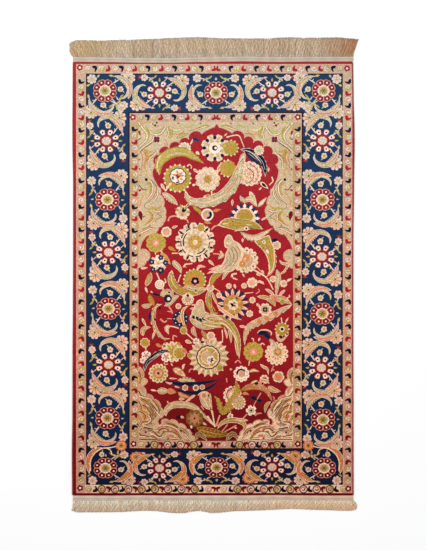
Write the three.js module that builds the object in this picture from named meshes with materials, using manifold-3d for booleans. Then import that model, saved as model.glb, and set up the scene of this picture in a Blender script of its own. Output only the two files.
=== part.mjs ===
// A hand-knotted silk carpet lying flat on the floor, in millimetres, +Z up, with the length along Y.
// The knotted body is one flat slab with slightly uneven edges. A round cord is overcast along each long side.
// Each short end has a narrow flat-woven web, and the warp ends leave it as a fringe that rests on the floor.
// The origin is the middle of the whole outline, fringes included, at floor level.
import * as THREE from "three";
import { mergeVertices } from "three/addons/utils/BufferGeometryUtils.js";
import Module from "manifold-3d";

const wasm = await Module();
wasm.setup();

// Driving dimensions.
const CARPET_WIDTH = 984; // over both side cords
const PILE_LENGTH = 1516; // knotted part, without webs and fringes
const PILE_THICKNESS = 4.5; // foundation and clipped silk pile together
const SIDE_CORD_WIDTH = 4.2;
const PIECE_GAP = 0.3;
const WEB_DEPTH = 18; // flat-woven end, measured along the length
const WEB_THICKNESS = 2.2;
const TWINING_WIDTH = 3; // raised twined line across each web
const TWINING_RISE = 0.7;
const TWINING_PLACE = 0.46; // share of the web's depth out from the pile
const STRANDS_PER_END = 150;
const STRAND_HEIGHT = 1.9;
const STRAND_ROOT = 3; // how far a strand reaches into its web
const STRAND_PARTING = 0.9; // clear space between neighbours at the web
const STRAND_TOP_SHARE = 0.55; // width of a strand's top against its foot
const TOP_STRAND_STEPS = 4;
const BOTTOM_STRAND_STEPS = 3;
const SIDE_STATIONS = 32;
const END_STATIONS = 24;

const HALF_WIDTH = CARPET_WIDTH / 2;
const HALF_LENGTH = PILE_LENGTH / 2;
const PILE_HALF_WIDTH = HALF_WIDTH - SIDE_CORD_WIDTH - PIECE_GAP;

// How far the two long sides stand out past straight lines, by distance down from the top edge.
const SIDE_WANDER = [
  { down: 0, left: -0.4, right: -1.8 },
  { down: 120, left: 0.1, right: -0.2 },
  { down: 224, left: 0.7, right: 2.7 },
  { down: 280, left: 0.6, right: 3.4 },
  { down: 434, left: -1.7, right: 1.4 },
  { down: 644, left: -1.8, right: -0.9 },
  { down: 854, left: -1.0, right: -1.1 },
  { down: 1012, left: 0.3, right: -0.9 },
  { down: 1222, left: 0.8, right: -0.3 },
  { down: 1379, left: 2.7, right: -0.1 },
  { down: 1516, left: 2.0, right: 0.3 },
];

// The same for the two short edges of the pile, by distance across from the middle.
const END_WANDER = [
  { across: -492, top: 0.2, bottom: 0.3 },
  { across: -361, top: -1.0, bottom: 0.6 },
  { across: -256, top: -3.0, bottom: -0.5 },
  { across: -151, top: -3.3, bottom: 0.4 },
  { across: -46, top: -0.5, bottom: -0.3 },
  { across: 112, top: 1.6, bottom: -0.2 },
  { across: 217, top: -0.2, bottom: -1.2 },
  { across: 374, top: 1.0, bottom: 0.3 },
  { across: 492, top: 1.4, bottom: 0.2 },
];

// Length of the fringe and the sideways lean of its tips, by distance across from the middle.
const TOP_FRINGE = [
  { across: -492, length: 52, lean: -7 },
  { across: -470, length: 60, lean: -8 },
  { across: -388, length: 59, lean: -3 },
  { across: -305, length: 63, lean: -7 },
  { across: -221, length: 67, lean: 3 },
  { across: -137, length: 71, lean: -3 },
  { across: -53, length: 71, lean: -8 },
  { across: 59, length: 65, lean: -2 },
  { across: 115, length: 64, lean: -6 },
  { across: 171, length: 65, lean: 1 },
  { across: 255, length: 70, lean: 6 },
  { across: 311, length: 67, lean: 8 },
  { across: 420, length: 68, lean: 13 },
  { across: 492, length: 62, lean: 17 },
];
const BOTTOM_FRINGE = [
  { across: -492, length: 36, lean: -3 },
  { across: -470, length: 42, lean: -2 },
  { across: -333, length: 41, lean: 1 },
  { across: -221, length: 37, lean: -2 },
  { across: -116, length: 45, lean: 2 },
  { across: -53, length: 38, lean: -1 },
  { across: 0, length: 45, lean: 2 },
  { across: 87, length: 38, lean: -2 },
  { across: 171, length: 36, lean: 1 },
  { across: 283, length: 31, lean: -1 },
  { across: 374, length: 34, lean: 2 },
  { across: 479, length: 37, lean: 5 },
  { across: 492, length: 32, lean: 8 },
];

const CLOTH = { roughness: 0.8, metalness: 0 };
const PILE_SILK = new THREE.MeshStandardMaterial({ color: 0x93343a, ...CLOTH, name: "pile_silk" });
const SIDE_SILK = new THREE.MeshStandardMaterial({ color: 0x8c1f2d, ...CLOTH, name: "side_silk" });
const END_SILK = new THREE.MeshStandardMaterial({ color: 0xc9b79a, ...CLOTH, name: "end_silk" });

// Reads one column of a table at a place, with smooth steps between its rows.
function readTable(rows, placeColumn, valueColumn, place) {
  const next = rows.findIndex((row) => row[placeColumn] >= place);
  if (next === 0) return rows[0][valueColumn];
  if (next < 0) return rows[rows.length - 1][valueColumn];
  const [before, after] = [rows[next - 1], rows[next]];
  const share = THREE.MathUtils.smoothstep(place, before[placeColumn], after[placeColumn]);
  return THREE.MathUtils.lerp(before[valueColumn], after[valueColumn], share);
}

// Y of the pile's short edge at a distance across, pushed out by some way. Side is 1 at the top and -1 at the bottom.
function endEdgeY(side, across, out = 0) {
  const wander = readTable(END_WANDER, "across", side > 0 ? "top" : "bottom", across);
  return side * (HALF_LENGTH + wander + out);
}

// X of a long side at a height y, at a given half width. Side is 1 on the right and -1 on the left.
function sideEdgeX(side, y, halfWidth) {
  const wander = readTable(SIDE_WANDER, "down", side > 0 ? "right" : "left", HALF_LENGTH - y);
  return side * (halfWidth + wander);
}

// Evenly spaced numbers from one to another, both included.
function spaced(from, to, steps) {
  return Array.from({ length: steps + 1 }, (_, step) => THREE.MathUtils.lerp(from, to, step / steps));
}

function solidOf(geometry) {
  geometry.deleteAttribute("normal");
  geometry.deleteAttribute("uv");
  const merged = mergeVertices(geometry, 1e-4);
  const index = new Uint32Array(merged.index.array);
  const mesh = new wasm.Mesh({ numProp: 3, vertProperties: merged.attributes.position.array, triVerts: index });
  return new wasm.Manifold(mesh);
}

function geometryOf(solid) {
  const { vertProperties, triVerts } = solid.getMesh();
  const geometry = new THREE.BufferGeometry();
  geometry.setAttribute("position", new THREE.BufferAttribute(vertProperties, 3));
  geometry.setIndex(new THREE.BufferAttribute(triVerts, 1));
  geometry.computeVertexNormals();
  return geometry;
}

function slab(outline, thickness) {
  return new THREE.ExtrudeGeometry(new THREE.Shape(outline), { depth: thickness, bevelEnabled: false });
}

// A bar with a flat foot at z = 0, swept along a curve that lies on the floor.
// The sweep turns the section so that its x runs down and its y runs sideways.
function floorBar(curve, section, steps) {
  const shape = new THREE.Shape(section.map(([sideways, up]) => new THREE.Vector2(-up, sideways)));
  return new THREE.ExtrudeGeometry(shape, { steps, extrudePath: curve, bevelEnabled: false });
}

// The knotted body: a slab whose four edges wander a little.
function pileGeometry() {
  const topCorner = PILE_HALF_WIDTH;
  const heights = spaced(-HALF_LENGTH, HALF_LENGTH, SIDE_STATIONS).slice(1, -1);
  const rightSide = heights.map((y) => [sideEdgeX(1, y, PILE_HALF_WIDTH), y]);
  const leftSide = heights.map((y) => [sideEdgeX(-1, y, PILE_HALF_WIDTH), y]).reverse();
  const acrossBottom = spaced(-topCorner, topCorner, END_STATIONS).map((x) => [x, endEdgeY(-1, x)]);
  const acrossTop = spaced(topCorner, -topCorner, END_STATIONS).map((x) => [x, endEdgeY(1, x)]);
  for (const [edge, y] of [
    [acrossBottom, -HALF_LENGTH],
    [acrossTop, HALF_LENGTH],
  ])
    for (const corner of [edge[0], edge[edge.length - 1]])
      corner[0] = sideEdgeX(Math.sign(corner[0]), y, PILE_HALF_WIDTH);
  const outline = [...acrossBottom, ...rightSide, ...acrossTop, ...leftSide];
  return slab(
    outline.map(([x, y]) => new THREE.Vector2(x, y)),
    PILE_THICKNESS,
  );
}

// The overcast cord along one long side: an eight-sided bar that stands on one of its flats.
function sideCordGeometry(side) {
  const radius = SIDE_CORD_WIDTH / 2;
  const corner = radius / Math.cos(Math.PI / 8);
  const section = Array.from({ length: 8 }, (_, turn) => {
    const angle = ((turn + 0.5) * Math.PI) / 4;
    return [corner * Math.cos(angle), radius + corner * Math.sin(angle)];
  });
  const path = spaced(-HALF_LENGTH, HALF_LENGTH, SIDE_STATIONS).map(
    (y) => new THREE.Vector3(sideEdgeX(side, y, HALF_WIDTH - radius), y, 0),
  );
  return floorBar(new THREE.CatmullRomCurve3(path), section, SIDE_STATIONS);
}

// One fringe strand: it leaves the web squarely and bends over towards its lean, flat on the floor.
function strand(side, across, width, row, steps) {
  const webEdge = endEdgeY(side, across, WEB_DEPTH + PIECE_GAP);
  const curve = new THREE.QuadraticBezierCurve3(
    new THREE.Vector3(across, webEdge - side * STRAND_ROOT, 0),
    new THREE.Vector3(across + 0.15 * row.lean, webEdge + side * row.length * 0.5, 0),
    new THREE.Vector3(across + row.lean, webEdge + side * row.length, 0),
  );
  const [foot, top] = [width / 2, (width * STRAND_TOP_SHARE) / 2];
  const section = [
    [-foot, 0],
    [foot, 0],
    [top, STRAND_HEIGHT],
    [-top, STRAND_HEIGHT],
  ];
  return solidOf(floorBar(curve, section, steps));
}

// A flat-woven web with its twined line and its fringe, all one solid.
function fringedEnd(side, fringe, steps) {
  const corner = HALF_WIDTH - 1;
  const places = spaced(-corner, corner, END_STATIONS);
  const inner = places.map((x) => new THREE.Vector2(x, endEdgeY(side, x, PIECE_GAP)));
  const outer = places.map((x) => new THREE.Vector2(x, endEdgeY(side, x, PIECE_GAP + WEB_DEPTH)));
  const web = solidOf(slab([...inner, ...outer.reverse()], WEB_THICKNESS));

  const line = places.map((x) => new THREE.Vector3(x, endEdgeY(side, x, WEB_DEPTH * TWINING_PLACE), 0));
  const half = TWINING_WIDTH / 2;
  const ridge = [
    [-half, WEB_THICKNESS / 2],
    [half, WEB_THICKNESS / 2],
    [half * 0.6, WEB_THICKNESS + TWINING_RISE],
    [-half * 0.6, WEB_THICKNESS + TWINING_RISE],
  ];
  const twining = solidOf(floorBar(new THREE.CatmullRomCurve3(line), ridge, END_STATIONS));

  const pitch = (2 * corner) / STRANDS_PER_END;
  const strands = Array.from({ length: STRANDS_PER_END }, (_, place) => {
    const across = -corner + (place + 0.5) * pitch;
    const row = {
      length: readTable(fringe, "across", "length", across) + 1.5 * Math.sin(place * 2.4),
      lean: readTable(fringe, "across", "lean", across) + 0.3 * Math.sin(place * 1.7),
    };
    return strand(side, across, pitch - STRAND_PARTING, row, steps);
  });
  return geometryOf(wasm.Manifold.union([web, twining, ...strands]));
}

const pieces = {
  pile_carpet: new THREE.Mesh(pileGeometry(), PILE_SILK),
  side_cord_left: new THREE.Mesh(sideCordGeometry(-1), SIDE_SILK),
  side_cord_right: new THREE.Mesh(sideCordGeometry(1), SIDE_SILK),
  fringed_end_top: new THREE.Mesh(fringedEnd(1, TOP_FRINGE, TOP_STRAND_STEPS), END_SILK),
  fringed_end_bottom: new THREE.Mesh(fringedEnd(-1, BOTTOM_FRINGE, BOTTOM_STRAND_STEPS), END_SILK),
};

const carpet = new THREE.Group();
for (const [name, mesh] of Object.entries(pieces)) {
  mesh.name = name;
  carpet.add(mesh);
}

// The group is shifted so that the whole outline is centred on the origin.
const middle = new THREE.Box3().setFromObject(carpet).getCenter(new THREE.Vector3());
carpet.position.set(-middle.x, -middle.y, 0);

export default carpet;
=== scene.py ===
"""A hand-knotted silk carpet with a floral field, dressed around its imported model."""

from __future__ import annotations

import cmath
import logging
import math
from collections.abc import Callable, Iterable, Iterator, Sequence
from contextlib import contextmanager
from dataclasses import dataclass, field, replace
from enum import Enum
from functools import partial

import numpy as np
import bmesh
import bpy
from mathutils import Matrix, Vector
from mathutils.geometry import delaunay_2d_cdt

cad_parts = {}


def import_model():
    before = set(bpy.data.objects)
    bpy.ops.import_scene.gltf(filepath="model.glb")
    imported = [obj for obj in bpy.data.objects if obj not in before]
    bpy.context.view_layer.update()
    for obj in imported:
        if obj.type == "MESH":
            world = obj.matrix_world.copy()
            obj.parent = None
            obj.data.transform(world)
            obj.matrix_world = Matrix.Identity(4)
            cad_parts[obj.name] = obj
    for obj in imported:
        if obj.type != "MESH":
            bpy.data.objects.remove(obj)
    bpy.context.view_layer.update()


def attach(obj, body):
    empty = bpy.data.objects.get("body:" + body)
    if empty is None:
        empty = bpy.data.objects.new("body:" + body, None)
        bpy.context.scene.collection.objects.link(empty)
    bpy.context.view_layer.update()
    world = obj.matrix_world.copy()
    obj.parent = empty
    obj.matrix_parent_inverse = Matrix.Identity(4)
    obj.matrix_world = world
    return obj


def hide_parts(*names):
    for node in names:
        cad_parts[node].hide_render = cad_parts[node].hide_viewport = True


LOG = logging.getLogger("carpet")


Outline = list[complex]  # chart places, with x to the right and y down


def linear(shown: str) -> tuple[float, float, float]:
    """A displayed colour, as six hexadecimal digits, to scene-linear red, green and blue."""
    parts = [int(shown[place : place + 2], 16) / 255 for place in (0, 2, 4)]
    red, green, blue = (s / 12.92 if s < 0.04045 else ((s + 0.055) / 1.055) ** 2.4 for s in parts)
    return red, green, blue


class Yarn(Enum):
    """The carpet's silks: the letter that the weaving chart uses for each, and its colour as displayed."""

    CRIMSON = ("D", "a0282f")
    WINE = ("E", "7c0f1f")
    NAVY = ("N", "1f3856")
    MIDNIGHT = ("B", "181a30")
    INK = ("X", "2a181c")
    PLUM = ("P", "55223e")
    IVORY = ("I", "dfcead")
    WHITE = ("W", "eadfca")
    CREAM = ("C", "c2a48a")
    SAND = ("S", "b99f76")
    FAWN = ("F", "c6b590")
    SAGE = ("V", "bdb58c")
    OLIVE = ("O", "a7963f")
    MOSS = ("M", "b5a758")
    GOLD = ("G", "bd9245")
    UMBER = ("U", "866238")
    ROSE = ("R", "d6a087")
    CORAL = ("K", "ca8760")
    SILVER = ("L", "b3b0a0")
    MOLE = ("H", "73684c")
    TAN = ("T", "af8d6f")
    PEARL = ("A", "d3c7b4")
    BARK = ("Y", "664429")
    GARNET = ("Z", "8a2c32")
    # a darker navy, laid only at the border's foot as painted shade
    DUSK = ("Q", "1f2d49")

    @property
    def letter(self) -> str:
        """The yarn's letter in the chart."""
        return self.value[0]

    @property
    def colour(self) -> tuple[float, float, float]:
        """The yarn's colour as scene-linear red, green and blue."""
        return linear(self.value[1])


YARN_BY_LETTER = {yarn.letter: yarn for yarn in Yarn}


def heading(degrees: float) -> complex:
    """A unit step on the chart: 0 points right and 90 points down."""
    return cmath.rect(1.0, math.radians(degrees))


def places(text: str) -> Outline:
    """Reads chart places from text.

    Args:
        text: pairs of numbers, right and down in chart units, with a comma between pairs.

    Returns:
        One complex number for each place.
    """
    return [complex(*map(float, pair.split())) for pair in text.split(",")]


def smooth(line: Sequence[complex], steps: int = 4) -> Outline:
    """A flowing line through places.

    Args:
        line: the places that it passes, two or more.
        steps: stretches between one place and the next.

    Returns:
        The points of a Catmull-Rom curve.
    """
    if len(line) < 3:
        return [line[0] + (line[-1] - line[0]) * step / steps for step in range(steps + 1)]
    ends = [2 * line[0] - line[1], *line, 2 * line[-1] - line[-2]]
    flow = []
    for p, q, r, s in zip(ends, ends[1:], ends[2:], ends[3:]):
        for step in range(steps):
            t = step / steps
            bend = (r - p) * t + (2 * p - 5 * q + 4 * r - s) * t**2 + (3 * q - p - 3 * r + s) * t**3
            flow.append(q + bend / 2)
    return [*flow, line[-1]]


def along(flow: Sequence[complex], share: float) -> tuple[complex, complex]:
    """A point part of the way along a line, and the unit step to the left of its run there."""
    place = min(max(share, 0.0), 1.0) * (len(flow) - 1)
    first = min(int(place), len(flow) - 2)
    run = flow[first + 1] - flow[first]
    before = flow[max(first - 1, 0) + 1] - flow[max(first - 1, 0)]
    after = flow[min(first + 2, len(flow) - 1)] - flow[min(first + 1, len(flow) - 2)]
    part = place - first
    ahead = before * (1 - part) / 2 + run / 2 + after * part / 2 or run or 1
    return flow[first] + run * part, ahead / abs(ahead) * -1j


DOT_RADIUS, DISC_RADIUS = 1.5, 4.0  # rounds smaller than these have fewer sides


def ring(at: complex, radius: float, lobes: int = 0, depth: float = 0.0, turn: float = 0.0) -> Outline:
    """A round outline.

    Args:
        at: its middle.
        radius: its outer radius.
        lobes: scallops round it, or none for a plain round.
        depth: depth of the notches as a share of the radius, below nought for pointed scallops.
        turn: degrees that it is turned.

    Returns:
        The outline's points.
    """
    if not lobes:
        sides = 7 if radius < DOT_RADIUS else 10 if radius < DISC_RADIUS else 16
        return [at + radius * heading(turn + 360 * side / sides) for side in range(sides)]
    shares = ((0.0, 1 - depth), (0.28, 1.0), (0.72, 1.0)) if depth > 0 else ((0.0, 1 + depth), (0.5, 1.0))
    return [
        at + radius * reach * heading(turn + 360 * (lobe + share) / lobes)
        for lobe in range(lobes)
        for share, reach in shares
    ]


def ribbon(line: Sequence[complex], width: float, steps: int = 4) -> Outline:
    """A stem of one width along a flowing line, a little finer at its far end."""
    flow = smooth(line, steps)
    count = len(flow) - 1
    sides = []
    for step in range(count + 1):
        point, left = along(flow, step / count)
        sides.append((point, left * width * (0.5 - 0.15 * step / count)))
    return [p + o for p, o in sides] + [p - o for p, o in reversed(sides)]


def blade(line: Sequence[complex], width: float, teeth: int = 0, side: int = 0, trim: float = 0.0) -> Outline:
    """A curved leaf along a flowing line.

    Args:
        line: the places of its midrib, from the foot to the tip.
        width: its greatest width.
        teeth: teeth on each toothed edge, or none.
        side: 1 for teeth on the left of its run, -1 for the right, 0 for both.
        trim: share of the length that is cut from each end.

    Returns:
        The leaf's outline.
    """
    flow, bite = smooth(line, 5), min(0.5, 1.5 / width)

    def edge(sign: int) -> Outline:
        """One edge of the leaf from foot to tip, 1 for the left and -1 for the right."""
        toothed = teeth and side in (0, sign)
        count = teeth if toothed else max(4, len(line) * 2)
        marks = [(tooth + part) / count for tooth in range(count) for part in ((0.0, 0.85) if toothed else (0.0,))]
        run = []
        for place, mark in enumerate(marks[1:], 1):
            share = trim + mark * (1 - 2 * trim)
            point, left = along(flow, share)
            swell = max(0.0, math.sin(math.pi * mark**0.85)) ** 0.75
            reach = (1 + 0.5 * bite if place % 2 else 1 - bite) if toothed else 1.0
            run.append(point + sign * left * width / 2 * swell * reach)
        return run

    foot, tip = along(flow, trim)[0], along(flow, 1 - trim)[0]
    return [foot, *edge(1), tip, *reversed(edge(-1))]


POINTED_PETAL = ((0.0, 0.0), (0.14, 0.72), (0.38, 1.0), (0.68, 0.66), (1.0, 0.0))  # shares of length and half width
BLUNT_PETAL = ((0.0, 0.5), (0.35, 0.82), (0.8, 1.0), (0.97, 0.66), (1.06, 0.0))


def almond(foot: complex, tip: complex, width: float, blunt: bool = False) -> Outline:
    """A bud or petal between two places: pointed and fullest nearer its foot, or blunt and fullest at its tip."""
    run = tip - foot
    left = run / abs(run) * -1j * width / 2
    shape = BLUNT_PETAL if blunt else POINTED_PETAL
    rim = [foot + run * share + left * swell for share, swell in shape]
    return rim + [foot + run * share - left * swell for share, swell in shape[3 :: -1][: 4 if blunt else 3]]


ARCH_ANGLES = (35, 65, 90, 115, 145)


def arched(text: str, rise: float) -> Outline:
    """An outline of arches between notches.

    Args:
        text: the notches in order.
        rise: height of each arch as a share of half its span, bulging to the left of the run.

    Returns:
        The outline's points, its last notch included.
    """
    notches = places(text)
    run = []
    for start, end in zip(notches, notches[1:]):
        run.append(start)
        half = (end - start) / 2
        for angle in ARCH_ANGLES:
            spread = -math.cos(math.radians(angle))
            run.append(start + half * (1 + spread) - 1j * half * rise * math.sin(math.radians(angle)))
    return [*run, notches[-1]]


class Chart:
    """The carpet's design as flat coloured shapes in chart units, each laid over the ones before it."""

    def __init__(self) -> None:
        """Starts an empty chart with nothing turned or moved."""
        self.shapes: list[tuple[Outline, Yarn]] = []
        self.moves: list[Callable[[complex], complex]] = []

    def lay(self, outline: Outline, letter: str) -> None:
        """Lays one shape in the yarn of that letter, through every placing in force."""
        for move in reversed(self.moves):
            outline = [move(point) for point in outline]
        self.shapes.append((outline, YARN_BY_LETTER[letter]))

    def lay_motifs(self, laid: Iterable[Motif]) -> None:
        """Lays several motifs in their order."""
        for motif in laid:
            motif.lay(self)

    def lay_bloom(self, pattern: str, at: complex, radius: float, turn: float = 0.0) -> None:
        """Lays a bloom's layers from the outside in."""
        for layer in BLOOMS[pattern]:
            layer.lay(self, at, radius, turn)

    @contextmanager
    def placed(
        self, at: complex, turn: float = 0.0, flip: bool = False, stretch: tuple[float, float] = (1, 1)
    ) -> Iterator[None]:
        """Places what is laid inside the with block.

        Args:
            at: where the motif's own origin goes.
            turn: degrees that the motif is turned, clockwise as seen.
            flip: mirrors it left to right before the turn.
            stretch: scale to the right and down, after the turn.

        Yields:
            Nothing, while the placing is in force.
        """
        turned = heading(turn)

        def move(point: complex) -> complex:
            """Carries a point of the motif to the chart."""
            spot = (complex(-point.real, point.imag) if flip else point) * turned
            return at + complex(spot.real * stretch[0], spot.imag * stretch[1])

        self.moves.append(move)
        yield
        self.moves.pop()


@dataclass(frozen=True)
class Ring:
    """One round layer of a bloom, by shares of the bloom's radius."""

    yarn: str
    share: float
    lobes: int = 0
    depth: float = 0.0
    shift: float = 0.0

    def lay(self, chart: Chart, at: complex, radius: float, turn: float) -> None:
        """Lays the layer, shifted along the bloom's heading by a share of its radius."""
        middle = at + heading(turn) * self.shift * radius
        chart.lay(ring(middle, radius * self.share, self.lobes, self.depth, turn), self.yarn)


@dataclass(frozen=True)
class Petals:
    """A round of petals, beads or rays, by shares of the bloom's radius."""

    yarn: str
    count: int
    start: float
    end: float
    width: float
    turn: float = 0.0
    arc: float = 360.0
    blunt: bool = False

    def lay(self, chart: Chart, at: complex, radius: float, turn: float) -> None:
        """Lays the petals round the middle, or over an arc about the bloom's heading."""
        whole = self.arc == 360
        for number in range(self.count):
            share = number / self.count if whole else number / max(self.count - 1, 1) - 0.5
            out = heading(turn + self.turn + share * self.arc) * radius
            chart.lay(almond(at + out * self.start, at + out * self.end, self.width * radius, self.blunt), self.yarn)


@dataclass(frozen=True)
class Arc:
    """A stroke along part of a circle, by shares of the bloom's radius and degrees from its heading."""

    yarn: str
    share: float
    first: float
    last: float
    width: float
    times: int = 1

    def lay(self, chart: Chart, at: complex, radius: float, turn: float) -> None:
        """Lays the stroke, as many times round the circle as it says."""
        span = self.last - self.first
        for number in range(self.times):
            start = turn + self.first + 360 * number / self.times
            line = [at + heading(start + span * step / 4) * radius * self.share for step in range(5)]
            chart.lay(ribbon(line, self.width * radius, 3), self.yarn)


def blooms(table: str) -> dict[str, tuple[Ring | Petals | Arc, ...]]:
    """Reads a table of blooms.

    Args:
        table: a row for each bloom: its name, then its layers from the lowest. Each layer is the letter of its
            kind, that of its yarn, and its kind's values in order. A row may go on in lines that start with a bar.

    Returns:
        The layers of each bloom by its name.
    """
    read = {}
    for row in table.strip().replace("\n|", " |").splitlines():
        name, *layers = row.split(" | ")
        read[name] = tuple(layer_of(*layer.split()) for layer in layers)
    return read


def layer_of(letters: str, *values: str) -> Ring | Petals | Arc:
    """One layer of a bloom from its two letters and its values; counts are the values without a point."""
    return LAYER_KINDS[letters[0]](letters[1], *(float(value) if "." in value else int(value) for value in values))


LAYER_KINDS = {"R": Ring, "P": Petals, "Q": partial(Petals, blunt=True), "A": Arc}
BLOOMS = blooms("""
fan_ivory | RI 1 11 .16 | RV .72 9 .12 | PI 9 .35 .8 .14
olive_palmette | PI 18 .82 1.04 .2 | RO .95 18 .12 | PM 18 .66 .9 .12 10 | RG .66 12 .06
ivory_heart | RB 1 9 .09 | RW .9 9 .1 | PK 3 .25 .75 .26 60 120 | PG 3 .3 .8 .22 200 90 | PD 3 -.05 .36 .36 20
daisy | RI 1 8 .2 | PF 8 .45 .96 .3 22.5 | QB 8 .62 .86 .26 | RG .5 8 .2 | RW .43 | RX .2 | RW .1 0 0 .06
pale_rosette | RI 1 11 .13 | QV 11 .55 .95 .3 16 | QI 11 .6 .9 .22 16 | RV .6 9 .14 | RI .54 9 .14 | PR 6 .2 .5 .2
| RG .32 6 .2 | RO .18
olive_fan | PI 9 .7 1.06 .26 0 230 | RO .92 12 .12 | PM 9 .5 .86 .14 0 230 | RG .5 7 .12 | PO 5 .1 .46 .14
sand_palmette | RI 1 15 .1 | RR .86 15 .08 | PI 15 .6 .92 .13 9 | RI .6 10 .08 | PK 7 .22 .52 .14 | PM 7 .3 .5 .1 26
| RR .2
gold_fan | PI 8 .75 1.15 .26 0 180 | RG .98 12 .12 | RO .75 10 .1 | PG 7 .3 .7 .16 0 160
bud_dark | RI .95 9 .16 | PO 4 .3 1.15 .34 0 150 | RF .6 | PB 2 0 .75 .3 20 40 | RK .22 0 0 -.3
pearl_bud | RW 1 | RC .76 | AB .55 -70 80 .42 | RV .28
great_rosette | RI 1 15 .12 | PC 15 .74 .95 .12 12 | PB 11 .74 1.02 .11 6 | AX .72 -12 11 .06 11 | PV 13 .4 .66 .13
| AX .6 150 215 .07 | AX .58 20 70 .07 | RF .44 10 .1 | RG .36 12 .14 | PM 8 .12 .34 .1 | RI .13
olive_small | RI 1 8 .16 | RO .84 8 .16 | PM 8 .3 .8 .2 | RG .26
green_rosette | RG 1 10 .1 | RM .92 10 .1 | PO 10 .45 .84 .18 18 | RG .46 8 .12 | RR .36 8 .16 | RI .14
ivory_bud | RI 1 7 .13 | RC .66 6 .12 | PF 3 -.3 .5 .3 | RR .2
ivory_posy | RI 1 8 .3 | PW 6 .2 .95 .36 | PF 6 .15 .6 .16 30 | RM .16
navy_floret | RN 1 5 .22 | RF .28
plum_floret | RP 1 4 .34 | RD .45 4 .2
snail | RW 1 | RF .72 | RW .55 | AF .3 0 300 .2
navy_heart | RK 1 7 .12 | RB .86 5 .2 | RR .34 3 .2 | PW 3 0 .3 .2
navy_fringe | PW 9 .55 .98 .26 0 236 | PN 8 .5 1.06 .24 0 206 | RI .7 12 .1
gold_dome | RI 1 9 .1 | RG .9 7 .08 | PR 5 .1 .6 .2 0 160 | RO .55 7 .15
eye_spot | RW 1 | RX .5
eye_drop | RB 1
dotted_palmette | RI 1 15 .13 | PF 15 .6 .92 .16 12 | PX 6 .72 .84 .13 40 | RC .6 10 .1
sand_heart | RF 1 8 .16 | RG .8 7 .12 | RK .46 5 .2 | RI .16
small_rosette | RI 1 7 .18 | RF .66 6 .16 | RR .34
coral_spot | RS 1 5 .12 | RK .74 5 .12
green_spot | RF 1 5 .12 | RO .78 5 .12
navy_eye | RN 1 6 .1 | RX .7 | RW .42 0 0 .2
navy_ring | RN 1 9 .1 | PW 9 .66 .84 .14 20 | RB .56 7 .1 | RS .5 5 .2 | RK .32 3 .2
white_spotted | RW 1 6 .2 | PX 5 .42 .74 .26 20 | RC .4 5 .15 | RK .18
spotted_fan | RI 1 10 .12 | PX 7 .66 .86 .14 0 170 | RC .5 7 .1 | PX 5 .34 .5 .12 0 150 | RX .24 0 0 -.6
navy_petals | PI 13 .5 .98 .19 13 | PS 13 .5 .8 .09 13 | QN 13 .62 .98 .17
gold_wheel | RK 1 | RG .93 | PO 7 .54 .9 .3 | PF 7 .56 .9 .13 25 | RI .56 7 .1 | PX 4 0 .36 .16 30
| PR 5 .2 .5 .12 50 | RW .14
green_eye_flower | RI 1 8 .2 | RC .68 7 .12 | RB .42 4 .25 | RO .16
olive_thistle | PI 12 .7 1.08 .26 | RO .92 12 -.16 | PG 9 .4 .86 .16 | RW .36 | RX .22
ivory_palmette | RI 1 14 .16 | PF 14 .66 .9 .15 13 | RI .64 10 .14 | PK 6 .3 .58 .14 60 150
olive_heart | RF 1 7 .16 | RO .8 6 .16 | RR .4 5 .16
sprig_palmette | RI 1 11 .16 | PM 11 .5 .92 .2 16 | RM .62 8 .14 | PO 8 .2 .6 .18 | PI 8 .3 .66 .09 22
| RG .26 6 .16
dotted_rosette | RI 1 13 .14 | RO .84 13 .1 | PI 13 .52 .92 .14 | PF 13 .5 .74 .09 14 | RO .5 8 .1 | RR .4 8 .16
| RE .14
spiked_palmette | RI 1 19 -.19 | RV .9 19 .06 | PI 19 .6 .99 .12 9 | PO 19 .64 .84 .04 | PK 7 .66 .9 .06 20
ring_heart | RX 1 13 .05 | RI .91 13 .05 | RM .8 9 .08 | PK 5 .3 .8 .2 40 | PG 7 .3 .78 .14 5 | PI 6 .3 .82 .12 20
| PO 6 .2 .78 .2 10 | AI .56 80 260 .12 | RF .5 7 .16
dark_wedge | RW 1 4 .1 | PX 3 -.3 .9 .5 20 120 | RL .45 4 .1 -.3
white_arc_flower | RW 1 10 .16 | PC 10 .62 .88 .16 18 | AB .54 170 330 .24 | RV .44 6 .14 .06 | RR .2
coral_bud | RI 1 6 .16 | RS .76 5 .14 | RK .48 4 .2
curl_rose | RR 1 | RC .66 | RX .36 0 0 .5
white_flower | RW 1 5 .32 | RV .6 5 .24 | RX .2
olive_round | RU 1 8 .12 | PO 8 .5 .92 .24 | RT .56 6 .14 | PK 6 .16 .5 .16 | PH 8 .66 .9 .12 | RE .12
half_moon | RI 1 12 .14 | PC 12 .62 .88 .15 15 | AX .62 -80 60 .1 | RR .55 7 .12 | RI .4
pearl_fan | RS 1 9 .1 | PW 11 .72 1.04 .2 0 250 | RF .62 7 .12 | PO 5 .1 .6 .16
""")


# The yarn round a leaf's body and the yarns of its flecks, by the body's yarn.
OUTLINES = {"V": "H", "I": "H", "S": "U", "F": "H", "B": "N", "N": "B", "K": "U"}
FLECKS = {
    "O": "GMRM", "M": "OFG", "V": "RIO", "I": "RVS", "S": "KIO", "R": "IOC",
    "K": "GRI", "G": "OKM", "F": "ROI", "N": "BL", "B": "NB", "U": "OG",
}
OTHER_OUTLINE, OTHER_FLECKS = "U", "SR"
PLAIN_LEAF = 3.6  # leaves no wider than this have neither an outline nor flecks
FLECK_STEP = 2.6  # chart units of a leaf's length for each fleck


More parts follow.
